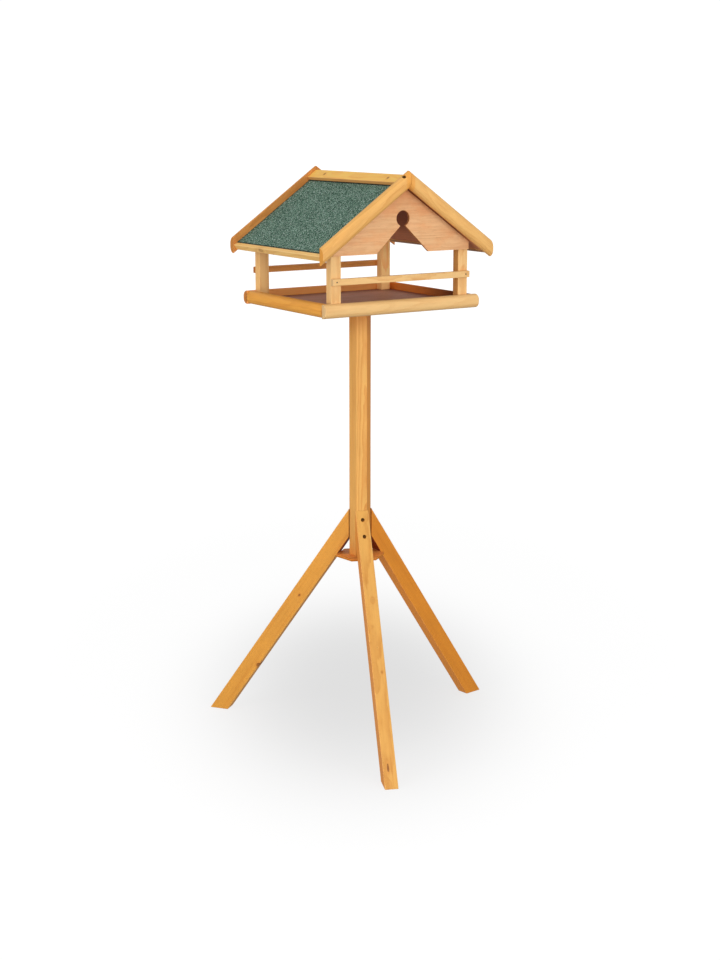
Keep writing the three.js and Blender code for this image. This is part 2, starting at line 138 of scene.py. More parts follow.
def operator(operation: str, reflected: bool = False) -> Callable[..., "Value"]:
    """Makes one of Value's operators.

    Args:
        operation: the operation of the Math node that it adds.
        reflected: whether the Value stands on the right of it.

    Returns:
        The method.
    """
    def method(self: "Value", *others: Any) -> "Value":
        """The operation's result."""
        return self.graph.math(operation, *((*others, self) if reflected else (self, *others)))

    return method


class Value:
    """A number that varies over a surface. Python's operators on it add Math nodes."""

    def __init__(self, graph: "Graph", socket: Socket) -> None:
        """Keeps the graph that the number belongs to and the socket that carries it."""
        self.graph = graph
        self.socket = socket

    __add__ = __radd__ = operator("ADD")
    __sub__ = operator("SUBTRACT")
    __rsub__ = operator("SUBTRACT", reflected=True)
    __mul__ = __rmul__ = operator("MULTIPLY")
    __truediv__ = operator("DIVIDE")
    __pow__ = operator("POWER")
    __mod__ = operator("FLOORED_MODULO")
    __abs__ = operator("ABSOLUTE")


class Graph:
    """The node tree of a material or of the world."""

    def __init__(self, owner: Any) -> None:
        """Starts with the owner's tree empty.

        Args:
            owner: the material or the world.
        """
        self.owner = owner
        owner.use_nodes = True
        self.tree = owner.node_tree
        self.tree.nodes.clear()

    @classmethod
    def of_material(cls, name: str) -> "Graph":
        """The graph of a new material."""
        return cls(bpy.data.materials.new(name))

    def node(self, kind: str, settings: dict[str, Any], inputs: dict[str, Any]) -> bpy.types.Node:
        """Adds a node.

        Args:
            kind: the node's type without its leading "ShaderNode".
            settings: its properties; stops is the list of a ramp's (place, colour).
            inputs: a value, a Value or a socket for each socket's identifier or name.

        Returns:
            The node.
        """
        node = self.tree.nodes.new("ShaderNode" + kind)
        for key, setting in settings.items():
            if key != "stops":
                setattr(node, key, setting)
                continue
            ramp = node.color_ramp.elements
            for _ in range(len(setting) - len(ramp)):
                ramp.new(0.5)
            for element, (place, colour) in zip(ramp, setting):
                element.position, element.color = place, (*linear(*colour), 1)
        named = {s.name: s for s in reversed(node.inputs)} | {s.identifier: s for s in node.inputs}
        for key, given in inputs.items():
            given = given.socket if isinstance(given, Value) else given
            if isinstance(given, Socket):
                self.tree.links.new(given, named[key])
            else:
                named[key].default_value = given
        return node

    def math(self, operation: str, *values: Any) -> Value:
        """The result of a Math node."""
        inputs = dict(zip(("Value", "Value_001"), values))
        return Value(self, self.node("Math", {"operation": operation}, inputs).outputs[0])

    def vector(self, operation: str, first: Any, second: Any, output: str = "Vector") -> Socket:
        """What comes out of a Vector Math node."""
        inputs = {"Vector": first, "Vector_001": second}
        return self.node("VectorMath", {"operation": operation}, inputs).outputs[output]

    def parts(self, vector: Any) -> tuple[Value, Value, Value]:
        """A vector's three parts as numbers."""
        outputs = self.node("SeparateXYZ", {}, {"Vector": vector}).outputs
        return Value(self, outputs[0]), Value(self, outputs[1]), Value(self, outputs[2])

    def placed(self, middle: Numbers, turn: Numbers, scale: Numbers) -> Socket:
        """Object coordinates as seen from a piece.

        Args:
            middle: the point where they are 0.
            turn, scale: the turn of their axes, and their unit along each.

        Returns:
            The coordinates.
        """
        place = {
            "Vector": self.node("TexCoord", {}, {}).outputs["Object"],
            "Location": tuple(float(v) for v in middle),
            "Rotation": turn,
            "Scale": scale,
        }
        return self.node("Mapping", {"vector_type": "TEXTURE"}, place).outputs["Vector"]

    def noise(
        self, vector: Any, along: float, across: float, detail: float = 2, rough: float = 0.5
    ) -> Value:
        """Soft noise from 0 to 1.

        Args:
            vector: where it is read.
            along, across: how many waves there are per unit along x, and along y and z.
            detail, rough: how much finer noise lies on the coarse one.

        Returns:
            The noise, about 0.5 on average.
        """
        read_at = self.vector("MULTIPLY", vector, (along, across, across))
        inputs = {"Vector": read_at, "Scale": 1.0, "Detail": detail, "Roughness": rough}
        return Value(self, self.node("TexNoise", {}, inputs).outputs["Fac"])

    def cells(self, vector: Any, size: float) -> tuple[Value, Value]:
        """Irregular grains of about a size.

        Args:
            vector: where they are read.
            size: the usual distance between two grains' middles.

        Returns:
            The distance from the grain's middle as a share of its size, and a number of its own
            from 0 to 1.
        """
        inputs = {"Vector": vector, "Scale": 1 / size, "Randomness": 1}
        outputs = self.node("TexVoronoi", {"feature": "F1"}, inputs).outputs
        own = self.parts(outputs["Color"])[0]
        return Value(self, outputs["Distance"]), own

    def step(self, value: Value, low: float, high: float) -> Value:
        """0 below low, 1 above high and an easy curve between them. low may be the higher one."""
        inputs = {"Value": value, "From Min": low, "From Max": high}
        return Value(self, self.node("MapRange", {"interpolation_type": "SMOOTHSTEP"}, inputs).outputs[0])

    def mix(self, share: Any, first: Any, second: Any) -> Socket:
        """A colour between two.

        Args:
            share: how much of the second one there is.
            first, second: the colours, each a socket or a Colour.

        Returns:
            The colour.
        """
        first, second = ((*linear(*c), 1) if isinstance(c, tuple) else c for c in (first, second))
        inputs = {"Factor_Float": share, "A_Color": first, "B_Color": second}
        node = self.node("Mix", {"data_type": "RGBA", "blend_type": "MIX"}, inputs)
        return next(s for s in node.outputs if s.identifier == "Result_Color")

    def shade(self, colour: Any, factor: Value) -> Socket:
        """A colour made lighter or darker by a factor about 1."""
        grey = self.node("CombineXYZ", {}, {"X": factor, "Y": factor, "Z": factor}).outputs["Vector"]
        return self.vector("MULTIPLY", colour, grey)

    def facing(self, direction: Numbers) -> Value:
        """How far the surface faces along a direction, -1 to 1."""
        normal = self.node("NewGeometry", {}, {}).outputs["True Normal"]
        return Value(self, self.vector("DOT_PRODUCT", normal, tuple(direction), "Value"))

    def bumped(self, height: Value, distance: float) -> Socket:
        """A normal tilted by a height from 0 to 1 that stands for a distance in metres."""
        inputs = {"Strength": 1.0, "Distance": distance, "Height": height}
        return self.node("Bump", {}, inputs).outputs["Normal"]

    def finish(self, **inputs: Any) -> bpy.types.Material:
        """Ends the material in a Principled shader.

        Args:
            inputs: the shader's sockets, with an underscore for each space.

        Returns:
            The material.
        """
        named = {key.replace("_", " "): given for key, given in inputs.items()}
        shader = self.node("BsdfPrincipled", {}, named)
        self.node("OutputMaterial", {}, {"Surface": shader.outputs[0]})
        return self.owner


# Where a piece lies


@dataclass(frozen=True)
class Placement:
    """A piece's own axes: its section lies in across and out, and is carried along the third.

    Attributes:
        origin: the point where all three are 0.
        across, out, along: unit vectors.
    """

    origin: Array
    across: Array
    out: Array
    along: Array

    def to_row(self, across: Any, out: Any, along: Any) -> Array:
        """Own coordinates as points of the row's frame: origin + u across + v out + w along."""
        u, v, w = (np.asarray(part, float)[..., None] for part in (across, out, along))
        return self.origin + u * self.across + v * self.out + w * self.along


@dataclass(frozen=True)
class Knot:
    """A knot that runs through a board.

    Attributes:
        along, beside: where it comes out, in millimetres from the board's middle.
        radius: its radius in millimetres.
        on_edge: whether it runs across the board instead of through its face.
        stretch: how much longer it is along the grain than across it.
        strength: how dark it is, 0 to 1.
    """

    along: float
    beside: float
    radius: float
    on_edge: bool = False
    stretch: float = 1.4
    strength: float = 1


@dataclass(frozen=True)
class Board:
    """What a finish needs to know of a piece.

    Attributes:
        name: the CAD node that it stands for, from which its own luck comes.
        middle: the middle of the piece.
        grain: the unit vector along its grain.
        face: the unit vector square to its face.
        half_width, half_depth: half its size across the grain, square to face and along it, or 0
            where it has no arrises to wear.
        half_length: half its size along the grain, or 0 where its ends are hidden.
        skew: how far its ends run along the grain for each unit across it.
        soak: how far the stain went in deeper from its ends, in millimetres.
        down: the unit vector out of its underside, or out of a tray board's inner face: the side that takes
            its timber's painted under light and shade.
        heart: where across it the painted side shade starts and where it is full, in millimetres from its
            middle, if it has any.
        pocket: the stretch of its underside where shade is painted in a dark corner, if there is one: where
            it starts, where it is full and where it ends, in millimetres from its middle along the grain.
    """

    name: str
    middle: Array
    grain: Array
    face: Array
    half_width: float = 0
    half_depth: float = 0
    half_length: float = 0
    skew: float = 0
    soak: float = 5
    down: Numbers = (0, 0, -1)
    heart: Pair | None = None
    pocket: tuple[float, float, float] | None = None
    knots: Sequence[Knot] = ()

    def coordinates(self, graph: Graph) -> Socket:
        """Object coordinates in millimetres from the middle: x along the grain, z out of the face."""
        axes = Matrix(np.stack([self.grain, np.cross(self.face, self.grain), self.face], axis=1).tolist())
        return graph.placed(self.middle, axes.to_euler(), (MM, MM, MM))

    def shifted(self, graph: Graph, place: Socket, rng: np.random.Generator) -> Socket:
        """Its coordinates moved by luck, so that no two boards are cut from the same wood."""
        return graph.vector("ADD", place, tuple(rng.uniform(-500, 500, 3)))


# Finishes


class Finish:
    """A piece's finish.

    Attributes:
        slot: the record's slot for it.
        word: its word in the pieces' names.
    """

    slot: ClassVar[Slot]
    word: ClassVar[str]

    def material(self, board: Board) -> bpy.types.Material:
        """The material of one piece."""
        raise NotImplementedError


@dataclass(frozen=True)
class StainedTimber(Finish):
    """Planed softwood with a honey-coloured satin stain.

    Attributes:
        early, late: the colours of the soft and the hard part of a growth ring.
        end: the tint of the cut ends, and of the wood beside them that has soaked up more stain.
        worn: the colour that shows along the arrises.
        knot, rim, resin: the colours of the knots, of the bark round them and of the wood round that.
        under: the painted light and shade of the side that the board's down points out of, or nothing where
            it is like the rest.
        heart: the warm tint painted on one side for the shade that it lies in.
        pocket: the painted shade of a stretch that lies in a dark corner.
        ring: the rings' spacing in millimetres.
        contrast: how strongly the rings show.
        tone: a factor on all of it.
    """

    slot: ClassVar[Slot] = Slot.STAINED_WOOD
    word: ClassVar[str] = "timber"
    early: Colour = (242, 184, 104)
    late: Colour = (212, 136, 56)
    end: Colour = (238, 160, 62)
    worn: Colour = (246, 200, 128)
    knot: Colour = (112, 54, 20)
    rim: Colour = (62, 28, 10)
    resin: Colour = (204, 118, 40)
    under: Colour | None = None
    heart: Colour = (222, 138, 42)
    pocket: Colour = (122, 34, 6)
    ring: float = 3.1
    contrast: float = 0.4
    tone: float = 1.0

    @staticmethod
    def _knots(graph: Graph, x: Value, y: Value, z: Value, knots: Sequence[Knot]) -> tuple[Any, ...]:
        """Where the knots are.

        Args:
            graph: the material's graph.
            x, y, z: the board's own coordinates.
            knots: its knots.

        Returns:
            How far they push the rings aside in millimetres, then their inside, their dark rim and
            the resin round them, 0 to 1.
        """
        push, inside, rim, halo = 0, 0, 0, 0
        for knot in knots:
            beside = (z if knot.on_edge else y) - knot.beside
            along = (x - knot.along) * (1 / knot.stretch)
            reach = (along * along + beside * beside) ** 0.5 / knot.radius
            push = graph.math("EXPONENT", reach * reach * -0.22) * (knot.radius * 1.5) + push
            inside = graph.step(reach, 1.1, 0.82) * knot.strength + inside
            rim = graph.math("EXPONENT", (reach - 1) * (reach - 1) * -30) * knot.strength + rim
            halo = graph.step(reach, 3.2, 0.8) * knot.strength + halo
        return push, inside, rim, halo

    def material(self, board: Board) -> bpy.types.Material:
        """Makes the material of one board.

        The rings are cylinders about a pith that lies beside the board and drifts along it: the
        distance from it, bent by noise and pushed aside by knots, is wrapped at the rings' spacing.

        Args:
            board: the piece.

        Returns:
            The material.
        """
        graph = Graph.of_material(f"stained_timber_{board.name}")
        rng = luck(board.name)
        place = board.coordinates(graph)
        shifted = board.shifted(graph, place, rng)
        x, y, z = graph.parts(place)

        pith_y, pith_z = rng.uniform(-14, 14), -rng.uniform(34, 62)
        lean_y, lean_z = rng.uniform(-0.012, 0.012), rng.uniform(-0.03, 0.03)
        bend = graph.noise(shifted, 0.009, 0.02, 1) - 0.5
        ripple = graph.noise(shifted, 0.03, 0.12) - 0.5
        push, inside, rim, halo = self._knots(graph, x, y, z, board.knots)
        off_y = y - pith_y + x * lean_y + bend * 16
        off_z = z - pith_z + x * lean_z
        distance = (off_y * off_y + off_z * off_z) ** 0.5 + bend * 9 + ripple * 2.2 + push
        share = (distance / self.ring) % 1
        late = graph.step(share, 0.25, 0.9) * graph.step(share, 1.0, 0.93)

        fibre = graph.noise(shifted, 0.035, 1.5, 3, 0.62)
        streak = graph.noise(shifted, 0.006, 0.16, 3, 0.6)
        blotch = graph.noise(shifted, 0.012, 0.045)
        pores = graph.step(graph.noise(shifted, 0.16, 3.2, 1), 0.67, 0.74)
        uneven = fibre - 0.5

        cut = graph.step(abs(graph.facing(board.grain)), 0.45, 0.75)
        colour = graph.mix(late * (self.contrast + (streak - 0.5) * 0.8), self.early, self.late)
        colour = graph.mix(graph.step(streak, 0.5, 0.8) * 0.3, colour, self.late)
        # Painted shade: one side of the board, past the span given, takes a warmer, deeper tint for the
        # shade that it lies in.
        if board.heart:
            heart = graph.step(y + uneven * 1.5, *board.heart)
            colour = graph.mix(heart * (0.55 + late * 0.3), colour, self.heart)
        if board.half_length:
            from_end = board.half_length / MM - abs(x - y * board.skew) + uneven * board.soak
            colour = graph.mix(graph.step(from_end, board.soak, -1) * 0.65, colour, self.end)
        if board.half_width:
            arris = graph.math("MINIMUM", abs(y) - board.half_width / MM, abs(z) - board.half_depth / MM)
            wear = graph.step(arris + uneven * 1.2, -1.6, -0.2)
            colour = graph.mix(wear * 0.5, colour, self.worn)
        colour = graph.mix(cut * 0.85, colour, self.end)
        shade = 1 + uneven * 0.22 + (blotch - 0.5) * 0.2 - pores * 0.16 - late * cut * 0.22
        colour = graph.shade(colour, shade * (self.tone * rng.uniform(0.96, 1.04)))
        if board.knots:
            colour = graph.mix(halo * 0.5, colour, self.resin)
            rings = ((distance * 0.9) % 1) * 0.35
            colour = graph.mix(inside * (0.78 - rings), colour, self.knot)
            colour = graph.mix(rim * 0.55, colour, self.rim)
        # Painted light and shade: the side that faces the board's down takes the under colour, brighter
        # where it stands in for light from the floor and darker where it stands in for shade.
        below = graph.step(graph.facing(board.down), 0.25, 0.5)
        if self.under:
            colour = graph.mix(below * (0.55 + blotch * 0.5), colour, self.under)
        # Painted shade: a stretch of the side that faces down, in a corner where little light reaches, is
        # darkened.
        if board.pocket:
            start, full, end = board.pocket
            corner_shade_stretch = graph.step(x, start, full) * graph.step(x, end + 1, end - 2)
            colour = graph.mix(below * corner_shade_stretch * 0.9, colour, self.pocket)
        height = fibre * 0.5 + late * 0.3 - pores * 0.5 + blotch * 0.2
        return graph.finish(
            Base_Color=colour,
            Roughness=0.5 + uneven * 0.16 + cut * 0.25 - late * 0.05,
            Specular_IOR_Level=0.3,
            Normal=graph.bumped(height, 0.00022),
        )


# Timbers that more than one piece is made of, before their own changes
PALE = StainedTimber((246, 200, 134), (222, 154, 82), end=(238, 196, 138))
AMBER = StainedTimber((240, 168, 68), (208, 122, 32), end=(196, 112, 44), contrast=0.27)


@dataclass(frozen=True)
class VeneerPly(Finish):
    """Plywood faced with a rotary-cut veneer, under a thin stain.

    Attributes:
        pale, deep: the colours between which the veneer's figure runs.
        flush: the tint of its warmer patches.
        pore: the colour of its short dark pores.
        core_pale, core_deep: the layers that show on the edges.
        gloom: the painted shade of the part that lies in a dark corner.
        gloom_share: how strongly that shows.
        gloom_from, gloom_to: where it starts and where it is full, in millimetres: from the nearest
            edge on a board with a half length, across the grain on others.
    """

    slot: ClassVar[Slot] = Slot.PLYWOOD
    word: str = "plywood"
    pale: Colour = (242, 192, 140)
    deep: Colour = (214, 148, 98)
    flush: Colour = (234, 162, 106)
    pore: Colour = (150, 88, 55)
    core_pale: Colour = (228, 158, 100)
    core_deep: Colour = (166, 92, 48)
    gloom: Colour = (222, 138, 76)
    gloom_share: float = 0.6
    gloom_from: float = 5
    gloom_to: float = 75
    thickness: float = 6 * MM
    layers: int = 3

    def material(self, board: Board) -> bpy.types.Material:
        """Makes the material of one panel.

        The figure is noise stretched along the grain, read at places that slower noise pushes
        about. On the edges the depth through the panel picks the layer.

        Args:
            board: the panel.

        Returns:
            The material.
        """
        graph = Graph.of_material(f"veneer_{board.name}")
        place = board.coordinates(graph)
        shifted = board.shifted(graph, place, luck(board.name))
        across = graph.parts(shifted)[1]
        x, y, z = graph.parts(place)
        bend = graph.noise(shifted, 0.011, 0.03) - 0.5
        wave = graph.math("SINE", (across + bend * 34) * 0.8) * 0.5 + 0.5
        figure = graph.noise(shifted, 0.007, 0.3, 4, 0.66)
        fine = graph.noise(shifted, 0.04, 1.3, 3, 0.6)
        pores = graph.step(graph.noise(shifted, 0.11, 2.2, 1), 0.64, 0.72)
        blotch = graph.noise(shifted, 0.01, 0.02)

        figured = graph.step(figure + (wave - 0.5) * 0.1, 0.25, 0.8)
        colour = graph.mix(figured * 0.62, self.pale, self.deep)
        patch = graph.noise(shifted, 0.022, 0.04, 3, 0.6)
        colour = graph.mix(graph.step(patch, 0.42, 0.68) * 0.5, colour, self.flush)
        colour = graph.mix(pores * 0.3, colour, self.pore)
        where = y
        if board.half_length:
            sides, ends = board.half_width / MM - abs(y), board.half_length / MM - abs(x)
            where = graph.math("MINIMUM", ends, sides)
        # Painted shade: near the edges on a board with a half length, and past a line across the grain on
        # others, the veneer darkens.
        gloom = graph.step(where + (patch - 0.5) * 30, self.gloom_from, self.gloom_to)
        colour = graph.mix(gloom * self.gloom_share, colour, self.gloom)
        through = z + self.thickness / MM / 2
        layer = graph.step((through / (self.thickness / MM / self.layers)) % 2, 0.98, 1.02)
        edge_grain = graph.noise(shifted, 0.5, 0.5)
        core = graph.mix(layer, self.core_pale, self.core_deep)
        core = graph.shade(core, 1 + (edge_grain - 0.5) * 0.5)
        edge = graph.step(abs(graph.facing(board.face)), 0.75, 0.45)
        colour = graph.mix(edge, colour, core)
        colour = graph.shade(colour, 1 + (fine - 0.5) * 0.2 + (blotch - 0.5) * 0.16)
        return graph.finish(
            Base_Color=colour,
            Roughness=0.56 + (fine - 0.5) * 0.14 + edge * 0.2,
            Specular_IOR_Level=0.25,
            Normal=graph.bumped(fine * 0.5 + figure * 0.4 - pores * 0.6, 0.0002),
        )


@dataclass(frozen=True)
class MineralFelt(Finish):
    """Bitumen felt strewn with green mineral granules.

    Attributes:
        stops: the granules' colours, and the share of them that are darker.
        gaps: the colour between the granules.
        dirt: the painted shade along the timbers round the sheet.
        backing: the colour of its edges.
        granule: the usual distance between two granules, in millimetres.
        covered: how far the ridge strip reaches over the sheet from its upper edge.
    """

    slot: ClassVar[Slot] = Slot.ROOF_FELT
    word: ClassVar[str] = "granules"
    stops: tuple[tuple[float, Colour], ...] = (
        (0.0, (34, 70, 54)), (0.3, (73, 114, 94)), (0.52, (111, 149, 126)),
        (0.72, (150, 188, 166)), (0.87, (190, 220, 203)), (0.97, (244, 255, 248)),
    )
    gaps: Colour = (22, 40, 32)
    dirt: Colour = (24, 26, 18)
    backing: Colour = (30, 32, 30)
    granule: float = 1.4
    covered: float = 0

    def material(self, board: Board) -> bpy.types.Material:
        """Makes the material of one sheet.

        Two sizes of granule lie over each other. Each granule has a colour of its own from a ramp, is
        darkest where it meets its neighbours, and stands up as a small dome. Painted shade darkens the
        sheet along the timbers round it.

        Args:
            board: the sheet.

        Returns:
            The material.
        """
        graph = Graph.of_material(f"mineral_felt_{board.name}")
        place = board.coordinates(graph)
        far, own = graph.cells(place, self.granule)
        near, other = graph.cells(place, self.granule * 0.55)
        chosen = {"Fac": own * 0.88 + other * 0.12}
        ramp = graph.node("ValToRGB", {"stops": self.stops}, chosen).outputs["Color"]
        blotch = graph.noise(place, 0.018, 0.018, 3)
        colour = graph.mix(graph.step(far, 0.3, 0.72) * 0.8, ramp, self.gaps)
        colour = graph.shade(colour, 1 + (blotch - 0.5) * 0.3)
        x, y, _ = graph.parts(place)
        sides = board.half_length / MM - abs(x)
        eaves = board.half_width / MM - y
        ridge = y + (board.half_width - self.covered) / MM
        joint = graph.math("MINIMUM", sides, graph.math("MINIMUM", eaves, ridge))
        uneven = graph.noise(place, 0.09, 0.09) - 0.5
        # Painted shade: a dark band a few millimetres wide along the timbers round the sheet.
        colour = graph.mix(graph.step(joint + uneven * 4, 3.4, 1.2) * 0.85, colour, self.dirt)
        edge = graph.step(abs(graph.facing(board.face)), 0.6, 0.3)
        return graph.finish(
            Base_Color=graph.mix(edge, colour, self.backing),
            Roughness=0.95 - own * 0.2,
            Specular_IOR_Level=0.25,
            Normal=graph.bumped((1 - far) * 0.7 + (1 - near) * 0.3, 0.0007),
        )


@dataclass(frozen=True)
class BrownedSteel(Finish):
    """A steel fastener with a dark yellow-brown coating.

    Attributes:
        bare, coating: the colours where the coating is thin and thick.
        shine: how metallic the coating is.
    """

    slot: ClassVar[Slot] = Slot.SCREW_STEEL
    word: ClassVar[str] = "steel"
    bare: Colour = (152, 116, 56)
    coating: Colour = (90, 58, 16)
    shine: float = 0.7

    def material(self, board: Board) -> bpy.types.Material:
        """Makes the material of one fastener: noise thins the coating, fine turning marks roughen it.

        Args:
            board: the fastener.

        Returns:
            The material.
        """
        graph = Graph.of_material(f"browned_steel_{board.name}")
        place = board.coordinates(graph)
        thin = graph.step(graph.noise(place, 0.9, 0.9, 3), 0.5, 0.72)
        turning = graph.noise(place, 6, 0.8)
        colour = graph.mix(thin * 0.7, self.coating, self.bare)
        return graph.finish(
            Base_Color=graph.shade(colour, 1 + (turning - 0.5) * 0.3),
            Metallic=self.shine + thin * 0.3,
            Roughness=0.5 - thin * 0.14 + (turning - 0.5) * 0.1,
            Normal=graph.bumped(turning, 0.00004),
        )


# Shapes


@dataclass
class Shape:
    """A closed mesh being made.

    Attributes:
        points: its corners, one row each.
        faces: groups of faces that have as many corners each, one row of indices a face.
    """

    points: Array
    faces: list[Array]

    def volume(self) -> float:
        """The volume that the faces enclose, negative where they point inwards.

        Each face is cut into a fan of triangles, whose signed tetrahedra to the middle add up.

        Returns:
            The volume.
        """
        total = 0.0
        middle = self.points.mean(axis=0)
        for rows in self.faces:
            corners = self.points[rows] - middle
            fan = np.cross(corners[:, 1:-1], corners[:, 2:])
            total += float((corners[:, :1] * fan).sum()) / 6
        return total

    def outward(self) -> "Shape":
        """The same shape with its faces pointing outwards."""
        return self if self.volume() >= 0 else Shape(self.points, [rows[:, ::-1] for rows in self.faces])

    def joined(self, other: "Shape") -> "Shape":
        """This shape and another one in one mesh."""
        moved = [rows + len(self.points) for rows in other.faces]
        return Shape(np.vstack([self.points, other.points]), [*self.faces, *moved])

    def mesh(self, name: str) -> bpy.types.Mesh:
        """Makes the Blender mesh, smooth-shaded and with its sharp edges marked.

        Args:
            name: its name.

        Returns:
            The mesh.
        """
        mesh = bpy.data.meshes.new(name)
        mesh.from_pydata(self.points.tolist(), [], [row for rows in self.faces for row in rows.tolist()])
        mesh.shade_smooth()
        mesh.set_sharp_from_angle(angle=SMOOTH_BELOW)
        mesh.update()
        return mesh


@dataclass(frozen=True)
class Outline:
    """A closed line in a section's plane.

    Attributes:
        points: its points in order.
        normals: the unit vectors that point out of it there.
    """

    points: Array
    normals: Array


def rounded_outline(corners: Sequence[Pair], radii: Numbers, steps: int = 5) -> Outline:
    """Rounds a polygon's corners.

    Each corner with a radius becomes an arc that touches both sides, so it starts
    radius * tan(turn / 2) before the corner. Two neighbours share the side between them in the
    ratio of their radii. One more point stands on each side of the arc, to keep the flat between
    two arcs flat in smooth shading.

    Args:
        corners: the polygon, anticlockwise.
        radii: each corner's radius; 0 leaves a corner of an already smooth run as it is.
        steps: the pieces of an arc.

    Returns:
        The rounded line.
    """
    points = np.array(corners, float)
    before = points - np.roll(points, 1, axis=0)
    after = np.roll(points, -1, axis=0) - points
    length_before, length_after = np.linalg.norm(before, axis=1), np.linalg.norm(after, axis=1)
    before /= length_before[:, None]
    after /= length_after[:, None]
    sizes = np.maximum(np.array(radii, float), 1e-9)
    share_before, share_after = (sizes / (sizes + np.roll(sizes, by)) for by in (1, -1))
    rooms = np.minimum(length_before * share_before, length_after * share_after) * 0.98
    widest_hold, least_hold = 0.8 * MM, 0.05 * MM
    placed, normals = [], []
    for corner, back, on, radius, room in zip(points, before, after, radii, rooms):
        turn = atan2(back[0] * on[1] - back[1] * on[0], float(back @ on))
        out_back, out_on = np.array([back[1], -back[0]]), np.array([on[1], -on[0]])
        if radius <= 0 or abs(turn) < 1e-6:
            middle = out_back + out_on
            placed.append(corner[None])
            normals.append((middle / np.linalg.norm(middle))[None])
            continue
        start = min(radius * tan(abs(turn) / 2), room)
        reach = copysign(start / tan(abs(turn) / 2), turn)
        centre = corner - back * start - out_back * reach
        angles = np.linspace(0, 1, steps + 1)[:, None] * turn
        arc_normals = out_back * np.cos(angles) + np.array([-out_back[1], out_back[0]]) * np.sin(angles)
        arc = centre + arc_normals * reach
        hold = min(widest_hold, room - start)
        if hold > least_hold:
            before_arc = corner - back * (start + hold) - out_back * SHY
            after_arc = corner + on * (start + hold) - out_on * SHY
            arc = np.vstack([before_arc, arc, after_arc])
            arc_normals = np.vstack([out_back, arc_normals, out_on])
        placed.append(arc)
        normals.append(arc_normals)
    return Outline(np.vstack(placed), np.vstack(normals))


def rectangle(low: Pair, high: Pair, radius: float) -> Outline:
    """A rectangle with eased corners."""
    corners = [low, (high[0], low[1]), high, (low[0], high[1])]
    return rounded_outline(corners, [radius] * 4)


@dataclass(frozen=True)
class Cut:
    """The plane in which a bar is cut: along = at + by_across * u + by_out * v.

    Attributes:
        at: where it meets the placement's axis.
        by_across, by_out: its slopes.
        ease: how far its edge is rounded.
    """

    at: float
    by_across: float = 0.0
    by_out: float = 0.0
    ease: float = 0.5 * MM

    def height(self, section: Array) -> Array:
        """The plane's place along the bar over points of the section."""
        return self.at + self.by_across * section[..., 0] + self.by_out * section[..., 1]


def square_cuts(low: float, high: float, ease: float = 0.5 * MM) -> tuple[Cut, Cut]:
    """The two square cuts of a bar."""
    return Cut(low, ease=ease), Cut(high, ease=ease)


def grid_faces(rings: int, around: int) -> Array:
    """The quads between closed rings of points.

    Args:
        rings, around: how many rings there are, and how many points in each.

    Returns:
        The quads as indices ring * around + place.
    """
    ring, place = np.meshgrid(np.arange(rings - 1) * around, np.arange(around), indexing="ij")
    beside, above = (place + 1) % around, ring + around
    return np.stack([ring + place, ring + beside, above + beside, above + place], axis=-1).reshape(-1, 4)


def closed_rings(points: Array) -> Shape:
    """The shape between closed rings of points, with a flat face over the first and the last one.

    Args:
        points: the rings, one row of points each.

    Returns:
        The shape.
    """
    rings, around = points.shape[:2]
    ring = np.arange(around)[None]
    faces = [grid_faces(rings, around), ring[:, ::-1], ring + (rings - 1) * around]
    return Shape(points.reshape(-1, 3), faces).outward()


def cut_bar(line: Outline, placement: Placement, cuts: tuple[Cut, Cut], marks: float, seed: str) -> Shape:
    """A section carried along a straight line between two cuts.

    Point (u, v) of the section goes to along = start(u, v) + share * (end(u, v) - start(u, v)).
    At each end the section draws in by ease * (1 - sin a) while it stands ease * (1 - cos a) off the
    cut, a quarter circle. Between them three slow sine waves, never outwards, keep it from being
    dead straight.

    Args:
        line, placement: the section and where it lies.
        cuts: the start and the end.
        marks: the most that the plane's marks take off.
        seed: the name whose luck sets the waves.

    Returns:
        The bar.
    """
    start, end = cuts
    length = float(np.mean(end.height(line.points) - start.height(line.points)))
    stretches = max(2, int(length / (14 * MM)))
    hold = min(1.2 * MM, length * 0.2)
    between, at_end = np.zeros(stretches - 1), np.zeros(5)
    angles = np.linspace(0, pi / 2, 4)
    drawn_in, stood_off = 1 - np.sin(angles), 1 - np.cos(angles)

    share = np.concatenate([at_end, np.linspace(0, 1, stretches + 1)[1:-1], at_end + 1])
    inset = np.concatenate([start.ease * drawn_in, [0], between, [0], (end.ease * drawn_in)[::-1]])
    step_on = np.concatenate([start.ease * stood_off, [start.ease + hold], between, at_end])
    step_back = np.concatenate([at_end, between, [end.ease + hold], (end.ease * stood_off)[::-1]])

    rng = luck(seed + " plane marks")
    lengths, phases = rng.uniform(0.6, 2.6, 3), rng.uniform(0, 2 * pi, 3)
    slow = np.sin(share[:, None] * lengths * pi + phases).mean(axis=1) * 0.5 + 0.5
    inset = inset + marks * slow
    section = line.points[None] - line.normals[None] * inset[:, None, None]
    low, high = start.height(section), end.height(section)
    along = low + (high - low) * share[:, None] + step_on[:, None] - step_back[:, None]
    return closed_rings(placement.to_row(section[..., 0], section[..., 1], along))


# Fasteners


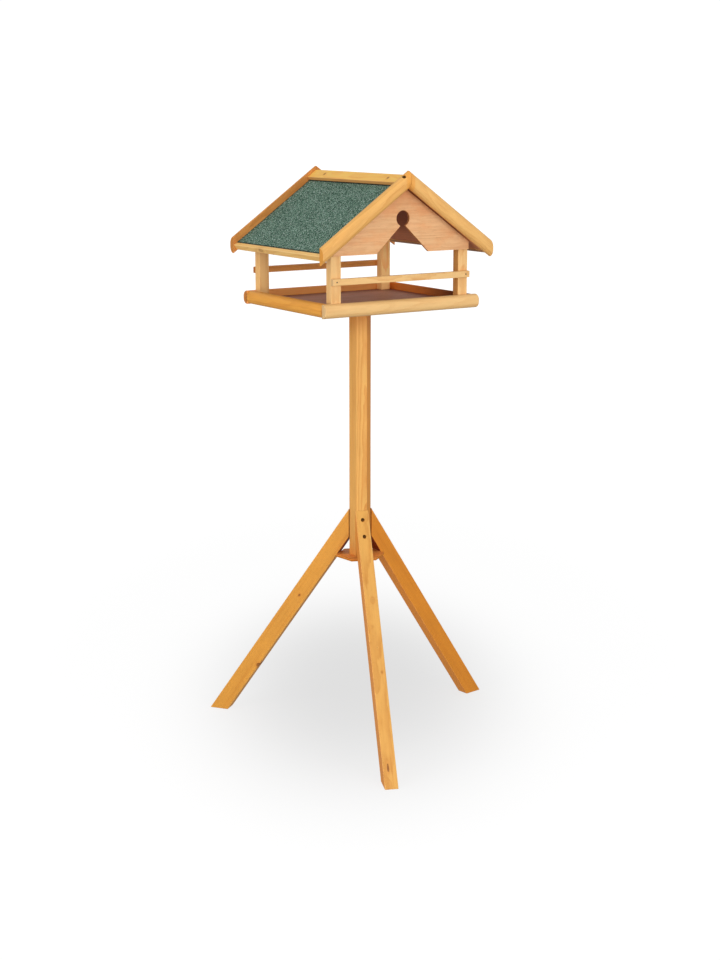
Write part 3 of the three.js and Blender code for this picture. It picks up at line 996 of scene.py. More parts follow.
@dataclass(frozen=True)
class Fastener:
    """A wood screw or a nail.

    Attributes:
        head, shank: their radii.
        tip: the length of the point.
        pitch: the thread's pitch, or 0 for a nail.
        clearance: the room that its hole leaves round it.
        cross: half the length and half the width of the slots in a screw's head, and their depth.
        slot_side: the width of their slanting sides.
        core: the shank between the threads as a share of the whole.
        around, hole_around: the points round its surface and round its hole.
    """

    head: float
    shank: float
    tip: float
    pitch: float
    clearance: float = 0.3 * MM
    steel: BrownedSteel = BrownedSteel()
    cross: tuple[float, float, float] = (2.2 * MM, 0.42 * MM, 1.3 * MM)
    slot_side: float = 0.24 * MM
    core: float = 0.76
    around: int = 40
    hole_around: int = 28

    def shape(self, length: float, placement: Placement) -> Shape:
        """The fastener as a turned surface, its head's top at 0 and its point at length.

        The radius runs over the head, the cone, the shank and the point. A screw's thread is a ridge
        that climbs one pitch a turn, and its head is sunk in a cross: the depth falls off with the
        distance from two crossed slots. A nail's head is domed.

        Args:
            length: from the head's top to the point.
            placement: where it lies; along is the way that it is driven.

        Returns:
            The fastener.
        """
        cone = self.head - self.shank
        turn = np.linspace(0, 2 * pi, self.around, endpoint=False)
        face = np.linspace(0, 1, 13)[1:] * self.head * 0.97
        stem = np.arange(cone + 0.4 * MM, length - self.tip, 0.5 * MM)
        profile = np.vstack([
            np.stack([face, 0 * face], axis=1),
            [(self.head, 0.12 * MM), (self.head * 0.97, 0.3 * MM), (self.shank, cone)],
            np.stack([0 * stem + self.shank, stem], axis=1),
            [(self.shank * 0.5, length - self.tip * 0.45), (0.05 * MM, length - 0.02 * MM)],
        ])
        radius, depth = (np.repeat(column[:, None], self.around, axis=1) for column in profile.T)
        on_face = (np.arange(len(radius)) < len(face))[:, None]
        middle = 0.0
        if self.pitch:
            on_stem = (depth > cone) & (depth < length - self.tip * 0.5)
            phase = (depth / self.pitch - turn[None] / (2 * pi)) % 1
            ridge = np.clip(1 - np.abs(phase - 0.5) * 3.2, 0, 1)
            radius = np.where(on_stem, radius * (self.core + (1 - self.core) * ridge), radius)
            u, v = np.abs(radius * np.cos(turn)), np.abs(radius * np.sin(turn))
            long, wide, middle = self.cross
            slot = np.minimum(np.maximum(u - long, v - wide), np.maximum(v - long, u - wide))
            sunk = np.clip(0.5 - slot / self.slot_side, 0, 1) * (middle - 0.45 * radius)
        else:
            sunk = 0.12 * MM * (radius / self.head) ** 4
        depth = np.where(on_face, depth + sunk, depth)
        points = placement.to_row(radius * np.cos(turn), radius * np.sin(turn), depth)
        rings, ring = len(radius), np.arange(self.around)
        hub = np.full(self.around, rings * self.around)
        fan = np.stack([hub, np.roll(ring, -1), ring], axis=1)
        faces = [grid_faces(rings, self.around), fan, ring[None] + (rings - 1) * self.around]
        return Shape(np.vstack([points.reshape(-1, 3), placement.to_row(0, 0, middle)]), faces).outward()

    def hole(self, length: float, placement: Placement) -> Shape:
        """The room that the fastener takes out of the wood, open above its head.

        Args:
            length: the fastener's length.
            placement: where it lies.

        Returns:
            The room.
        """
        room = self.clearance
        profile = np.array([
            (self.head + room, -6 * MM),
            (self.head + room, -room * 0.4 + 0.15 * MM),
            (self.shank + room, self.head - self.shank + 0.4 * room),
            (self.shank + room, length - self.tip + room),
            (self.shank * 0.3, length + room),
        ])
        turn = np.linspace(0, 2 * pi, self.hole_around, endpoint=False)
        u, v = profile[:, :1] * np.cos(turn), profile[:, :1] * np.sin(turn)
        return closed_rings(placement.to_row(u, v, np.repeat(profile[:, 1:], len(turn), 1)))


DARK_STEEL = BrownedSteel(bare=(64, 40, 22), coating=(26, 15, 8), shine=0)
SCREW = Fastener(head=3.8 * MM, shank=2 * MM, tip=4 * MM, pitch=2.2 * MM)
NAIL = Fastener(head=1.5 * MM, shank=0.9 * MM, tip=2 * MM, pitch=0, clearance=0.12 * MM, steel=DARK_STEEL)
# How far a nail's head stands in the timber
NAIL_SUNK = 0.5 * MM


@dataclass(frozen=True)
class Driven:
    """A fastener in its place.

    Attributes:
        name: the CAD node that it stands for.
        placement: its head's top and the way that it is driven.
    """

    name: str
    kind: Fastener
    length: float
    placement: Placement

    @classmethod
    def at(cls, name: str, kind: Fastener, length: float, head: Array, heading: Array) -> "Driven":
        """Places a fastener, turned about its shank by its own luck.

        Args:
            name, kind, length: the CAD node that it stands for, its sort and its length.
            head, heading: the middle of its head's top, and the way that it is driven.

        Returns:
            The fastener in its place.
        """
        along = np.array(heading, float) / np.linalg.norm(heading)
        across = np.cross(UP if abs(along[2]) < 0.9 else RIGHT, along)
        across /= np.linalg.norm(across)
        spin = luck(name).uniform(0, pi / 2)
        turned = across * cos(spin) + np.cross(along, across) * sin(spin)
        placement = Placement(np.array(head, float), turned, np.cross(along, turned), along)
        return cls(name, kind, length, placement)

    def hole(self) -> Shape:
        """The room that it takes out of the wood."""
        return self.kind.hole(self.length, self.placement)

    def mark(self, board: Board) -> Knot:
        """The dark ring that its iron leaves in a board's face.

        Args:
            board: the board.

        Returns:
            The ring, as a knot.
        """
        away = (self.placement.origin - board.middle) / MM
        beside = float(away @ np.cross(board.face, board.grain))
        return Knot(float(away @ board.grain), beside, self.kind.head / MM + 0.8, stretch=1)

    def build(self) -> None:
        """Makes the fastener and puts it in place of its CAD node."""
        place, head = self.placement, self.kind.head
        board = Board(self.name, place.origin, place.along, place.out, head, head)
        hand_over(board, self.kind.shape(self.length, place), self.kind.steel)


Fixings = Sequence[Driven]


# From shapes to pieces


def put_in_scene(name: str, data: Any) -> bpy.types.Object:
    """Puts a mesh, a light or a camera in the scene, at the origin.

    Args:
        name, data: its name and its data.

    Returns:
        The object.
    """
    made = bpy.data.objects.new(name, data)
    bpy.context.scene.collection.objects.link(made)
    return made


def bore(piece: bpy.types.Object, fasteners: Fixings) -> None:
    """Takes the fasteners' holes out of a piece's mesh for good.

    Both are turned by an odd angle while they are cut, because a face in line with an axis can
    mislead the cutting.

    Args:
        piece: the piece.
        fasteners: the ones that go through it or into it.
    """
    if not fasteners:
        return
    holes = fasteners[0].hole()
    for fastener in fasteners[1:]:
        holes = holes.joined(fastener.hole())
    cutter = put_in_scene("holes", holes.mesh("holes"))
    for mesh in (piece.data, cutter.data):
        mesh.transform(ODD_TURN)
    modifier = piece.modifiers.new("holes", "BOOLEAN")
    modifier.operation = "DIFFERENCE"
    modifier.solver = "EXACT"
    modifier.object = cutter
    bpy.context.view_layer.update()
    cut = bpy.data.meshes.new_from_object(piece.evaluated_get(bpy.context.evaluated_depsgraph_get()))
    piece.modifiers.clear()
    cut.transform(ODD_TURN.inverted())
    old, piece.data = piece.data, cut
    bpy.data.meshes.remove(old)
    bpy.data.objects.remove(cutter)
    cut.set_sharp_from_angle(angle=SMOOTH_BELOW)


def hand_over(board: Board, shape: Shape, finish: Finish, fasteners: Fixings = ()) -> None:
    """Puts a finished piece in the scene in place of its CAD node.

    Args:
        board, shape, finish: the piece, its mesh and its finish.
        fasteners: those whose holes it has.
    """
    node, slot, material = board.name, finish.slot, finish.material(board)
    name = f"{node}_{finish.word}"
    piece = put_in_scene(name, shape.mesh(name))
    bore(piece, fasteners)
    piece.data.materials.clear()
    piece.data.materials.append(material)
    piece.data.name = name
    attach(piece, ROOT)
    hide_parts(node)
    LOG.info("%s: %d faces", name, len(piece.data.polygons))


def bar_board(
    name: str, placement: Placement, middle: Numbers, size: Numbers, face: Array, **rest: Any
) -> Board:
    """Describes a bar to its finish.

    Args:
        name: the piece's name.
        placement: where it lies; its grain runs along.
        middle: its middle in own coordinates.
        size: its size across, out and along, the last 0 where its ends are hidden.
        face: the unit vector square to its face.
        rest: other attributes of the board.

    Returns:
        The board.
    """
    across, out, along = (part / 2 for part in size)
    faces_out = abs(float(face @ placement.out)) > 0.5
    width, depth = (across, out) if faces_out else (out, across)
    return Board(name, placement.to_row(*middle), placement.along, face, width, depth, along, **rest)


@dataclass(frozen=True)
class House:
    """The sizes that several sub-assemblies share, as in the CAD source.

    Attributes:
        axis: the post's axis on the ground.
        base: the tray's underside above the ground.
        height: the house above the tray's base.
        span, depth: the tray outside, in X and Y.
        moulding: the moulding's height and thickness.
        moulding_round, moulding_arris: the radii of its round and of its square corners.
        gap: the room between two pieces.
        panel_under: the roof panels' undersides, square to the slope from the barge boards' tops.
    """

    axis: Array
    base: float = 920.5 * MM
    height: float = 279.5 * MM
    span: float = 369 * MM
    depth: float = 328 * MM
    moulding: Pair = (28 * MM, 14 * MM)
    moulding_round: float = 12 * MM
    moulding_arris: float = 0.7 * MM
    floor: float = 12.5 * MM
    gap: float = 0.3 * MM
    pitch: float = radians(35)
    panel_under: float = 25.3 * MM

    @property
    def apex(self) -> Array:
        """The point where the barge boards' top edges meet, over the post's axis."""
        return self.axis + UP * (self.base + self.height)

    @property
    def inner_span(self) -> float:
        """The clear span between the side boards."""
        return self.span - 2 * self.moulding[1]

    @property
    def inner_depth(self) -> float:
        """The clear depth between the front and the back board."""
        return self.depth - 2 * self.moulding[1]

    @property
    def slope(self) -> float:
        """The roof's rise over its run."""
        return tan(self.pitch)

    def under_roof(self, distance: float) -> float:
        """Height of the roof panels' underside, less the gap, so far from the ridge."""
        lowered = (self.panel_under + self.gap) / cos(self.pitch)
        return self.base + self.height - lowered - abs(distance) * self.slope

    def moulding_outline(self) -> Outline:
        """The moulding's section: across is away from its flat back, out is up from its lower edge.

        Returns:
            The section.
        """
        height, thickness = self.moulding
        small, large = self.moulding_arris, self.moulding_round
        corners = [(0, 0), (thickness, 0), (thickness, height), (0, height)]
        return rounded_outline(corners, [small, large, large, small], 10)


# The stand


@dataclass
class Stand:
    """A hexagonal post on three splayed legs, with the plate that braces them and the one under the tray.

    Attributes:
        turn: the whole stand's turn about the post's axis.
        tip, reach: the legs' tips above the ground, and their feet from the axis.
        hub_below: the hub plate's top below the legs' tips.
        screw_circle: the top plate's screws from the axis.
        screw_drops: the legs' screws below the tips.
        bite, end_bite, plate_bite: how far screws go into the post's sides, its ends and the tray's floor.
        post_soak: how far the stain went in deeper from the post's ends, in millimetres.
        knots: the legs' knots, along them from their tips.
    """

    house: House
    turn: float = radians(-22.5)
    tip: float = 489 * MM
    reach: float = 354 * MM
    leg_width: float = 28 * MM
    leg_depth: float = 35 * MM
    leg_arris: float = 1.3 * MM
    across_flats: float = 40 * MM
    post_arris: float = 1.1 * MM
    hub_below: float = 100 * MM
    hub_thickness: float = 4 * MM
    plate_thickness: float = 9 * MM
    plate_across: float = 140 * MM
    plate_arris: float = 0.8 * MM
    screw_circle: float = 50 * MM
    screw_drops: Pair = (18 * MM, 49 * MM)
    bite: float = 13 * MM
    end_bite: float = 40 * MM
    plate_bite: float = 9 * MM
    post_timber: StainedTimber = StainedTimber(
        (244, 184, 98), (216, 130, 48), end=(222, 140, 56), contrast=0.5
    )
    # Painted light and shade: the under colours brighten the legs' undersides for light from the floor, and
    # the front leg's side takes a painted shade tint.
    leg_timbers: dict[str, StainedTimber] = field(default_factory=lambda: {
        "leg_front": StainedTimber(
            (230, 170, 84), (200, 127, 46), under=(252, 160, 66), heart=(250, 152, 58), contrast=0.46
        ),
        "leg_left": AMBER,
        "leg_right": StainedTimber(
            (234, 149, 46), (204, 112, 24), end=(214, 138, 60), under=(250, 156, 58), contrast=0.32
        ),
    })
    ply: VeneerPly = VeneerPly(
        pale=(250, 166, 82), deep=(204, 118, 50), flush=(184, 98, 36), core_pale=(220, 140, 44),
        core_deep=(184, 100, 28), gloom_share=0
    )
    post_soak: float = 60
    # Painted shade: a warmer tint on one side of the post and of the front leg, where those sides lie in
    # shade.
    hearts: dict[str, Pair] = field(default_factory=lambda: {
        "post": (9.5, 13),
        "leg_front": (-12.6, -13.8),
    })
    knots: dict[str, tuple[Knot, ...]] = field(default_factory=lambda: {
        "leg_front": (
            Knot(548, -3.0, 1.9, stretch=3.8),
            Knot(352.5, 5.5, 1.6, strength=0.35),
            Knot(300, 1.5, 1.2, strength=0.3),
            Knot(256, -4.5, 1.3, strength=0.3),
            Knot(199, 3.0, 2.4, strength=0.22),
        ),
        "leg_left": (
            Knot(232.3, -1.9, 1.8, on_edge=True),
            Knot(430.2, -16.0, 3.0, on_edge=True),
        ),
    })

    @property
    def root(self) -> float:
        """The legs' scarfs from the axis."""
        return self.across_flats / 2 + self.house.gap

    @property
    def splay(self) -> float:
        """The legs' lean from upright."""
        return atan2(self.reach - self.root, self.tip)

    @property
    def hub_top(self) -> float:
        """The hub plate's top above the ground."""
        return self.tip - self.hub_below

    @property
    def legs(self) -> dict[str, float]:
        """Each leg's turn about the axis, from -Y."""
        names = ("leg_front", "leg_right", "leg_left")
        return {name: self.turn + radians(120 * index) for index, name in enumerate(names)}

    @property
    def upright(self) -> Placement:
        """The post's own axes: along is up."""
        spin = np.array(Matrix.Rotation(self.turn, 3, "Z"))
        return Placement(self.house.axis, spin @ RIGHT, spin @ BACKWARDS, UP)

    @staticmethod
    def outwards(turn: float) -> Array:
        """The level unit vector away from the axis at a turn from -Y."""
        return unit(sin(turn), -cos(turn), 0)

    def face_radius(self, height: float) -> float:
        """A leg's outer face from the axis at a height."""
        return self.root + (self.tip - height) * tan(self.splay)

    def leg_placement(self, turn: float) -> Placement:
        """A leg's own axes: across its width, out of its outer face and down its length, from its tip.

        Args:
            turn: the leg's turn about the axis.

        Returns:
            The axes.
        """
        sideways, outwards = unit(cos(turn), sin(turn), 0), self.outwards(turn)
        out = outwards * cos(self.splay) + UP * sin(self.splay)
        down = outwards * sin(self.splay) - UP * cos(self.splay)
        return Placement(self.house.axis + outwards * self.root + UP * self.tip, sideways, out, down)

    def leg_screws(self, name: str, turn: float) -> list[Driven]:
        """A leg's two screws, level and towards the axis.

        Args:
            name: the leg's name.
            turn: its turn about the axis.

        Returns:
            The upper and the lower screw.
        """
        screws = []
        for place, drop in zip(("upper", "lower"), self.screw_drops):
            height = self.tip - drop
            head_at = self.face_radius(height + SCREW.head)
            length = head_at - self.across_flats / 2 + self.bite
            head = self.house.axis + self.outwards(turn) * head_at + UP * height
            screws.append(Driven.at(f"{name}_{place}_screw", SCREW, length, head, -self.outwards(turn)))
        return screws

    def build_leg(self, name: str, turn: float, screws: Fixings) -> None:
        """Makes a leg: its top is cut upright against the post, its foot level with the ground.

        Args:
            name, turn: its name and its turn about the axis.
            screws: the ones that hold it.
        """
        placement = self.leg_placement(turn)
        outline = rectangle((-self.leg_width / 2, -self.leg_depth), (self.leg_width / 2, 0), self.leg_arris)
        scarf = Cut(0, by_out=-1 / tan(self.splay))
        foot = Cut(self.tip / cos(self.splay), by_out=tan(self.splay), ease=1.0 * MM)
        shape = cut_bar(outline, placement, (scarf, foot), COARSE, name)
        middle = foot.at / 2
        above_hub = (self.hub_below - self.leg_depth * sin(self.splay)) / cos(self.splay)
        board = bar_board(
            name,
            placement,
            (0, -self.leg_depth / 2, middle),
            (self.leg_width, self.leg_depth, 0),
            placement.out,
            down=-placement.out,
            heart=self.hearts.get(name),
            # Painted shade on the underside, from the tip to just above the hub plate.
            pocket=(-middle / MM - 2, -middle / MM - 1, (above_hub - middle) / MM),
            knots=[replace(knot, along=knot.along - middle / MM) for knot in self.knots.get(name, ())],
        )
        hand_over(board, shape, self.leg_timbers[name], screws)

    def hexagon(self, across_flats: float, arris: float) -> Outline:
        """A hexagon with one flat towards the front leg.

        Args:
            across_flats, arris: its size across its flats, and the radius of its corners.

        Returns:
            The hexagon.
        """
        corner = across_flats / 2 / cos(pi / 6)
        angles = [(index + 0.5) * pi / 3 - pi / 2 for index in range(6)]
        return rounded_outline([(corner * cos(a), corner * sin(a)) for a in angles], [arris] * 6)

    def plate_screws(self) -> list[Driven]:
        """The screws up through the top plate into the tray's floor.

        Returns:
            The three screws.
        """
        height = self.house.base - self.house.gap - self.plate_thickness
        length = self.plate_thickness + self.house.gap + self.plate_bite
        screws = []
        for number in (1, 2, 3):
            angle = number * 2 * pi / 3 + self.turn
            level = unit(cos(angle), sin(angle), 0) * self.screw_circle
            head = self.house.axis + level + UP * height
            screws.append(Driven.at(f"top_plate_screw_{number}", SCREW, length, head, UP))
        return screws

    def build_plate(self, name: str, across: float, low: float, thickness: float, holes: Fixings) -> None:
        """Makes a hexagonal plywood plate.

        Args:
            name, across: its name and its size across its flats.
            low, thickness: its underside above the ground and its thickness.
            holes: the fasteners in it.
        """
        upright = self.upright
        outline = self.hexagon(across, self.plate_arris)
        shape = cut_bar(outline, upright, square_cuts(low, low + thickness), 0, name)
        middle = upright.to_row(0, 0, low + thickness / 2)
        board = Board(name, middle, upright.across, UP, across / 2, thickness / 2)
        layers = 3 if thickness < 5 * MM else 5
        hand_over(board, shape, replace(self.ply, thickness=thickness, layers=layers), holes)

    def build(self) -> None:
        """Makes the whole stand."""
        house = self.house
        hub_low = self.hub_top - self.hub_thickness
        plate_low = house.base - house.gap - self.plate_thickness
        top_head, hub_head = (house.axis + UP * height for height in (house.base - 2 * house.gap, hub_low))
        top_screw = Driven.at("post_top_screw", SCREW, self.plate_thickness + self.end_bite, top_head, -UP)
        hub_screw = Driven.at("hub_screw", SCREW, self.hub_thickness + self.end_bite, hub_head, UP)
        post_holes = [top_screw, hub_screw]
        for name, turn in self.legs.items():
            screws = self.leg_screws(name, turn)
            self.build_leg(name, turn, screws)
            post_holes += screws

        low, high = self.hub_top + house.gap, house.base - self.plate_thickness - 2 * house.gap
        outline = self.hexagon(self.across_flats, self.post_arris)
        shape = cut_bar(outline, self.upright, square_cuts(low, high), USUAL, "post")
        middle, half = house.axis + UP * (low + high) / 2, (high - low) / 2
        more = {"half_length": half, "soak": self.post_soak, "heart": self.hearts["post"]}
        hand_over(Board("post", middle, UP, self.upright.out, **more), shape, self.post_timber, post_holes)

        inner = self.face_radius(self.hub_top) - self.leg_depth / cos(self.splay)
        hub_across = 2 * (inner - house.gap / cos(self.splay))
        plate_holes = [top_screw, *self.plate_screws()]
        self.build_plate("hub_plate", hub_across, hub_low, self.hub_thickness, [hub_screw])
        self.build_plate("top_plate", self.plate_across, plate_low, self.plate_thickness, plate_holes)
        for screw in [*post_holes, *self.plate_screws()]:
            screw.build()


# The tray


@dataclass
class Tray:
    """A plywood floor in a frame of rounded mouldings.

    Attributes:
        ease, exposed_ease: how far the mouldings' ends are rounded, and the front and back ones' first
            ends.
        floor_arris, floor_ease: how far the floor's corners and edges are rounded.
        pockets: the stretches of the inner faces where shade is painted in a dark corner.
    """

    house: House
    ease: float = 0.9 * MM
    exposed_ease: float = 2.2 * MM
    floor_arris: float = 0.5 * MM
    floor_ease: float = 0.3 * MM
    # Painted light and shade: the back and right boards' under colours light their inner faces, and their
    # corner colours darken the corners.
    timbers: dict[str, StainedTimber] = field(default_factory=lambda: {
        "front": replace(PALE, contrast=0.2, tone=0.95),
        "back": StainedTimber(
            (252, 184, 104), (226, 138, 62), end=(226, 140, 62), under=(255, 172, 94),
            pocket=(70, 14, 2)
        ),
        "right": replace(AMBER, under=(246, 138, 58), pocket=(84, 28, 8)),
        "left": AMBER,
    })
    pockets: dict[str, tuple[float, float, float]] = field(default_factory=lambda: {
        "back": (156, 163, 190),
        "right": (-70, 120, 190),
    })
    # Painted shade: the floor darkens towards the boards round it.
    ply: VeneerPly = VeneerPly(
        pale=(224, 164, 134), deep=(174, 114, 86), flush=(198, 132, 98), gloom=(116, 54, 24),
        gloom_share=0.7, gloom_from=60, gloom_to=0, thickness=12.5 * MM, layers=5
    )

    def build_board(self, where: str, outwards: Array, from_middle: float, length: float) -> None:
        """Makes a length of the moulding, its flat back against the floor.

        Args:
            where: the side of the tray, as its name says it.
            outwards: the unit vector out of that side.
            from_middle: its flat back from the tray's middle.
            length: its length.
        """
        house = self.house
        height, thickness = house.moulding
        name, origin = f"tray_board_{where}", house.axis + UP * house.base + outwards * from_middle
        placement = Placement(origin, outwards, UP, np.cross(outwards, UP))
        first_ease = self.exposed_ease if length == house.span else self.ease
        cuts = Cut(-length / 2, ease=first_ease), Cut(length / 2, ease=self.ease)
        shape = cut_bar(house.moulding_outline(), placement, cuts, USUAL, name)
        board = bar_board(
            name,
            placement,
            (thickness / 2, height / 2, 0),
            (thickness * 4, height, length),
            outwards,
            down=-outwards,
            pocket=self.pockets.get(where),
        )
        hand_over(board, shape, self.timbers[where])

    def build(self, floor_holes: Fixings) -> None:
        """Makes the tray.

        Args:
            floor_holes: the screws that go through the floor.
        """
        house = self.house
        half_x, half_y = house.inner_span / 2, house.inner_depth / 2
        side_length = house.inner_depth - 2 * house.gap
        self.build_board("front", -BACKWARDS, half_y, house.span)
        self.build_board("back", BACKWARDS, half_y, house.span)
        self.build_board("right", RIGHT, half_x, side_length)
        self.build_board("left", -RIGHT, half_x, side_length)

        name, base = "floor_panel", house.axis + UP * house.base
        edge_x, edge_y = half_x - house.gap, half_y - house.gap
        outline = rectangle((-edge_x, -edge_y), (edge_x, edge_y), self.floor_arris)
        cuts = square_cuts(0, house.floor, self.floor_ease)
        shape = cut_bar(outline, Placement(base, RIGHT, BACKWARDS, UP), cuts, 0, name)
        board = Board(name, base + UP * house.floor / 2, RIGHT, UP, edge_y, house.floor / 2, edge_x)
        hand_over(board, shape, self.ply, floor_holes)


# The gable ends


@dataclass
class GableEnds:
    """The corner posts, the rails across them and the notched gables.

    Attributes:
        post_width, post_depth: a corner post in X and Y.
        from_side_board: its distance from the side board.
        rail_height, rail_thickness, rail_share: the rails, and their place in the clear height.
        arris: the radius of the posts' and the rails' arrises.
        gable_inset, gable_shoulder: the gables' ends from the posts' outer faces, and their height.
        notch_half, neck_half, round_radius, round_rise: the notch in a gable.
        figure_rise: the middle of a gable's figure above its lower edge.
        lit_tone: the back right post's tone, raised as painted light for a post that lies in the roof's
            shade.
        post_heart: where the painted side shade lies on the front right post.
    """

    house: House
    post_width: float = 23 * MM
    post_depth: float = 18 * MM
    from_side_board: float = 7.5 * MM
    screw_bite: float = 22 * MM
    rail_height: float = 13 * MM
    rail_thickness: float = 8 * MM
    rail_share: float = 0.454
    arris: float = 1.0 * MM
    nail_from_end: float = 9 * MM
    nail_length: float = 18 * MM
    gable_thickness: float = 6 * MM
    gable_inset: float = 2 * MM
    gable_shoulder: float = 16 * MM
    gable_arris: float = 0.5 * MM
    gable_ease: float = 0.3 * MM
    notch_half: float = 62 * MM
    neck_half: float = 5.9 * MM
    round_radius: float = 15.5 * MM
    round_rise: float = 67 * MM
    round_steps: int = 48
    figure_rise: float = 55 * MM
    timber: StainedTimber = PALE
    back_rail_timber: StainedTimber = replace(AMBER, early=(238, 164, 84), late=(204, 120, 48))
    # Painted light: the back posts' lighter early colour and raised tone stand in for light under the
    # roof's shade.
    back_post_timber: StainedTimber = replace(PALE, early=(248, 200, 130), tone=1.12, contrast=0.55)
    # Painted shade: the gables keep VeneerPly's own, which darkens them towards their tops under the roof.
    ply: VeneerPly = VeneerPly(word="veneer")
    lit_tone: float = 1.35
    post_heart: Pair = (10.4, 11.3)

    @property
    def outer_x(self) -> float:
        """The corner posts' outer faces from the middle, in X."""
        return self.house.inner_span / 2 - self.from_side_board

    @property
    def outer_y(self) -> float:
        """The corner posts' outer faces from the middle, in Y."""
        return self.house.inner_depth / 2 - self.house.gap

    @property
    def gable_half(self) -> float:
        """Half the gables' span."""
        return self.outer_x - self.gable_inset

    @property
    def gable_base(self) -> float:
        """The gables' lower edge above the ground."""
        return self.house.under_roof(self.gable_half) - self.gable_shoulder

    @property
    def rail_centre(self) -> float:
        """The rails' middle above the ground."""
        board_top = self.house.base + self.house.moulding[0]
        return board_top + self.rail_share * (self.gable_base - board_top)

    def corner(self, side: Side, end: End) -> Pair:
        """A corner post's middle from the house's, in X and Y."""
        x, y = self.outer_x - self.post_width / 2, self.outer_y - self.post_depth / 2
        return side.value * x, end.value * y

    def floor_screw(self, side: Side, end: End) -> Driven:
        """The screw up through the floor into a corner post.

        Args:
            side, end: the post's corner.

        Returns:
            The screw.
        """
        length = self.house.floor + self.house.gap + self.screw_bite
        head = self.house.axis + unit(*self.corner(side, end), self.house.base)
        return Driven.at(f"corner_post_screw_{end}_{side}", SCREW, length, head, UP)

    def floor_screws(self) -> list[Driven]:
        """The screws up into the four corner posts."""
        return [self.floor_screw(side, end) for end in End for side in Side]

    def rail_nail(self, side: Side, end: End) -> Driven:
        """The nail through a rail into a corner post.

        Args:
            side, end: the post's corner.

        Returns:
            The nail.
        """
        x = side.value * (self.outer_x - self.nail_from_end)
        y = end.value * (self.outer_y + self.house.gap + self.rail_thickness - NAIL_SUNK)
        head, length = self.house.axis + unit(x, y, self.rail_centre), self.nail_length - NAIL_SUNK
        return Driven.at(f"rail_nail_{end}_{side}", NAIL, length, head, -BACKWARDS * end.value)

    def build_corner_post(self, side: Side, end: End) -> None:
        """Makes a corner post, its top bevelled to the roof, with its screw and its nail.

        Args:
            side, end: its corner.
        """
        name, house = f"corner_post_{end}_{side}", self.house
        x, y = self.corner(side, end)
        placement = Placement(house.axis + unit(x, y, 0), RIGHT, BACKWARDS, UP)
        half = self.post_width / 2, self.post_depth / 2
        foot = Cut(house.base + house.floor + house.gap)
        top = Cut(house.under_roof(x), by_across=-side.value * house.slope)
        outline = rectangle((-half[0], -half[1]), half, self.arris)
        shape = cut_bar(outline, placement, (foot, top), FINE, name)
        board = bar_board(
            name,
            placement,
            (0, 0, (foot.at + top.at) / 2),
            (self.post_width, self.post_depth, 0),
            BACKWARDS * end.value,
            heart=self.post_heart if (side, end) == (Side.RIGHT, End.FRONT) else None,
        )
        timber = self.timber if end is End.FRONT else self.back_post_timber
        # Painted light: the back right post is made lighter still.
        if (side, end) == (Side.RIGHT, End.BACK):
            timber = replace(timber, tone=self.lit_tone)
        fixings = self.floor_screw(side, end), self.rail_nail(side, end)
        hand_over(board, shape, timber, fixings)
        for fastener in fixings:
            fastener.build()

    def build_rail(self, end: End) -> None:
        """Makes a rail.

        Args:
            end: its end of the house.
        """
        name, half = f"rail_{end}", self.rail_height / 2
        origin = self.house.axis + unit(0, end.value * (self.outer_y + self.house.gap), self.rail_centre)
        placement = Placement(origin, BACKWARDS * end.value, UP, RIGHT)
        outline = rectangle((0, -half), (self.rail_thickness, half), self.arris)
        shape = cut_bar(outline, placement, square_cuts(-self.outer_x, self.outer_x), FINE, name)
        size = (self.rail_thickness, self.rail_height, 2 * self.outer_x)
        board = bar_board(name, placement, (self.rail_thickness / 2, 0, 0), size, placement.across)
        timber = self.timber if end is End.FRONT else self.back_rail_timber
        hand_over(board, shape, timber, [self.rail_nail(side, end) for side in Side])

    def gable_outline(self) -> Outline:
        """A gable's outline, with the notch that narrows to a neck and opens into a round.

        The round is an arc from one side of the neck to the other.

        Returns:
            The outline, in X and in height above the ground.
        """
        half, base, last = self.gable_half, self.gable_base, self.round_steps
        shoulder = self.house.under_roof(half)
        neck = asin(self.neck_half / self.round_radius)
        angles = np.linspace(-pi / 2 - neck, -2.5 * pi + neck, last + 1)
        centre = base + self.round_rise
        arc = [(self.round_radius * cos(a), centre + self.round_radius * sin(a)) for a in angles]
        top = [(half, shoulder), (0, self.house.under_roof(0)), (-half, shoulder)]
        feet = (-half, base), (-self.notch_half, base)
        corners = [(half, base), *top, *feet, *arc, (self.notch_half, base)]
        arris = self.gable_arris
        return rounded_outline(corners, [arris] * 7 + [0] * (last - 1) + [arris] * 2, 3)

    def build_gable(self, end: End) -> None:
        """Makes a gable.

        Args:
            end: its end of the house.
        """
        name, outwards, half = f"gable_{end}", BACKWARDS * end.value, self.gable_thickness / 2
        y = end.value * (self.outer_y + self.house.gap)
        placement = Placement(self.house.axis + unit(0, y, 0), RIGHT, UP, outwards)
        cuts = square_cuts(0, self.gable_thickness, self.gable_ease)
        shape = cut_bar(self.gable_outline(), placement, cuts, 0, name)
        middle = self.house.axis + unit(0, y + end.value * half, self.gable_base + self.figure_rise)
        board = Board(name, middle, -RIGHT * end.value, outwards, self.gable_half, half)
        hand_over(board, shape, self.ply)

    def build(self) -> None:
        """Makes both gable ends."""
        for end in End:
            self.build_rail(end)
            self.build_gable(end)
            for side in Side:
                self.build_corner_post(side, end)


# The roof


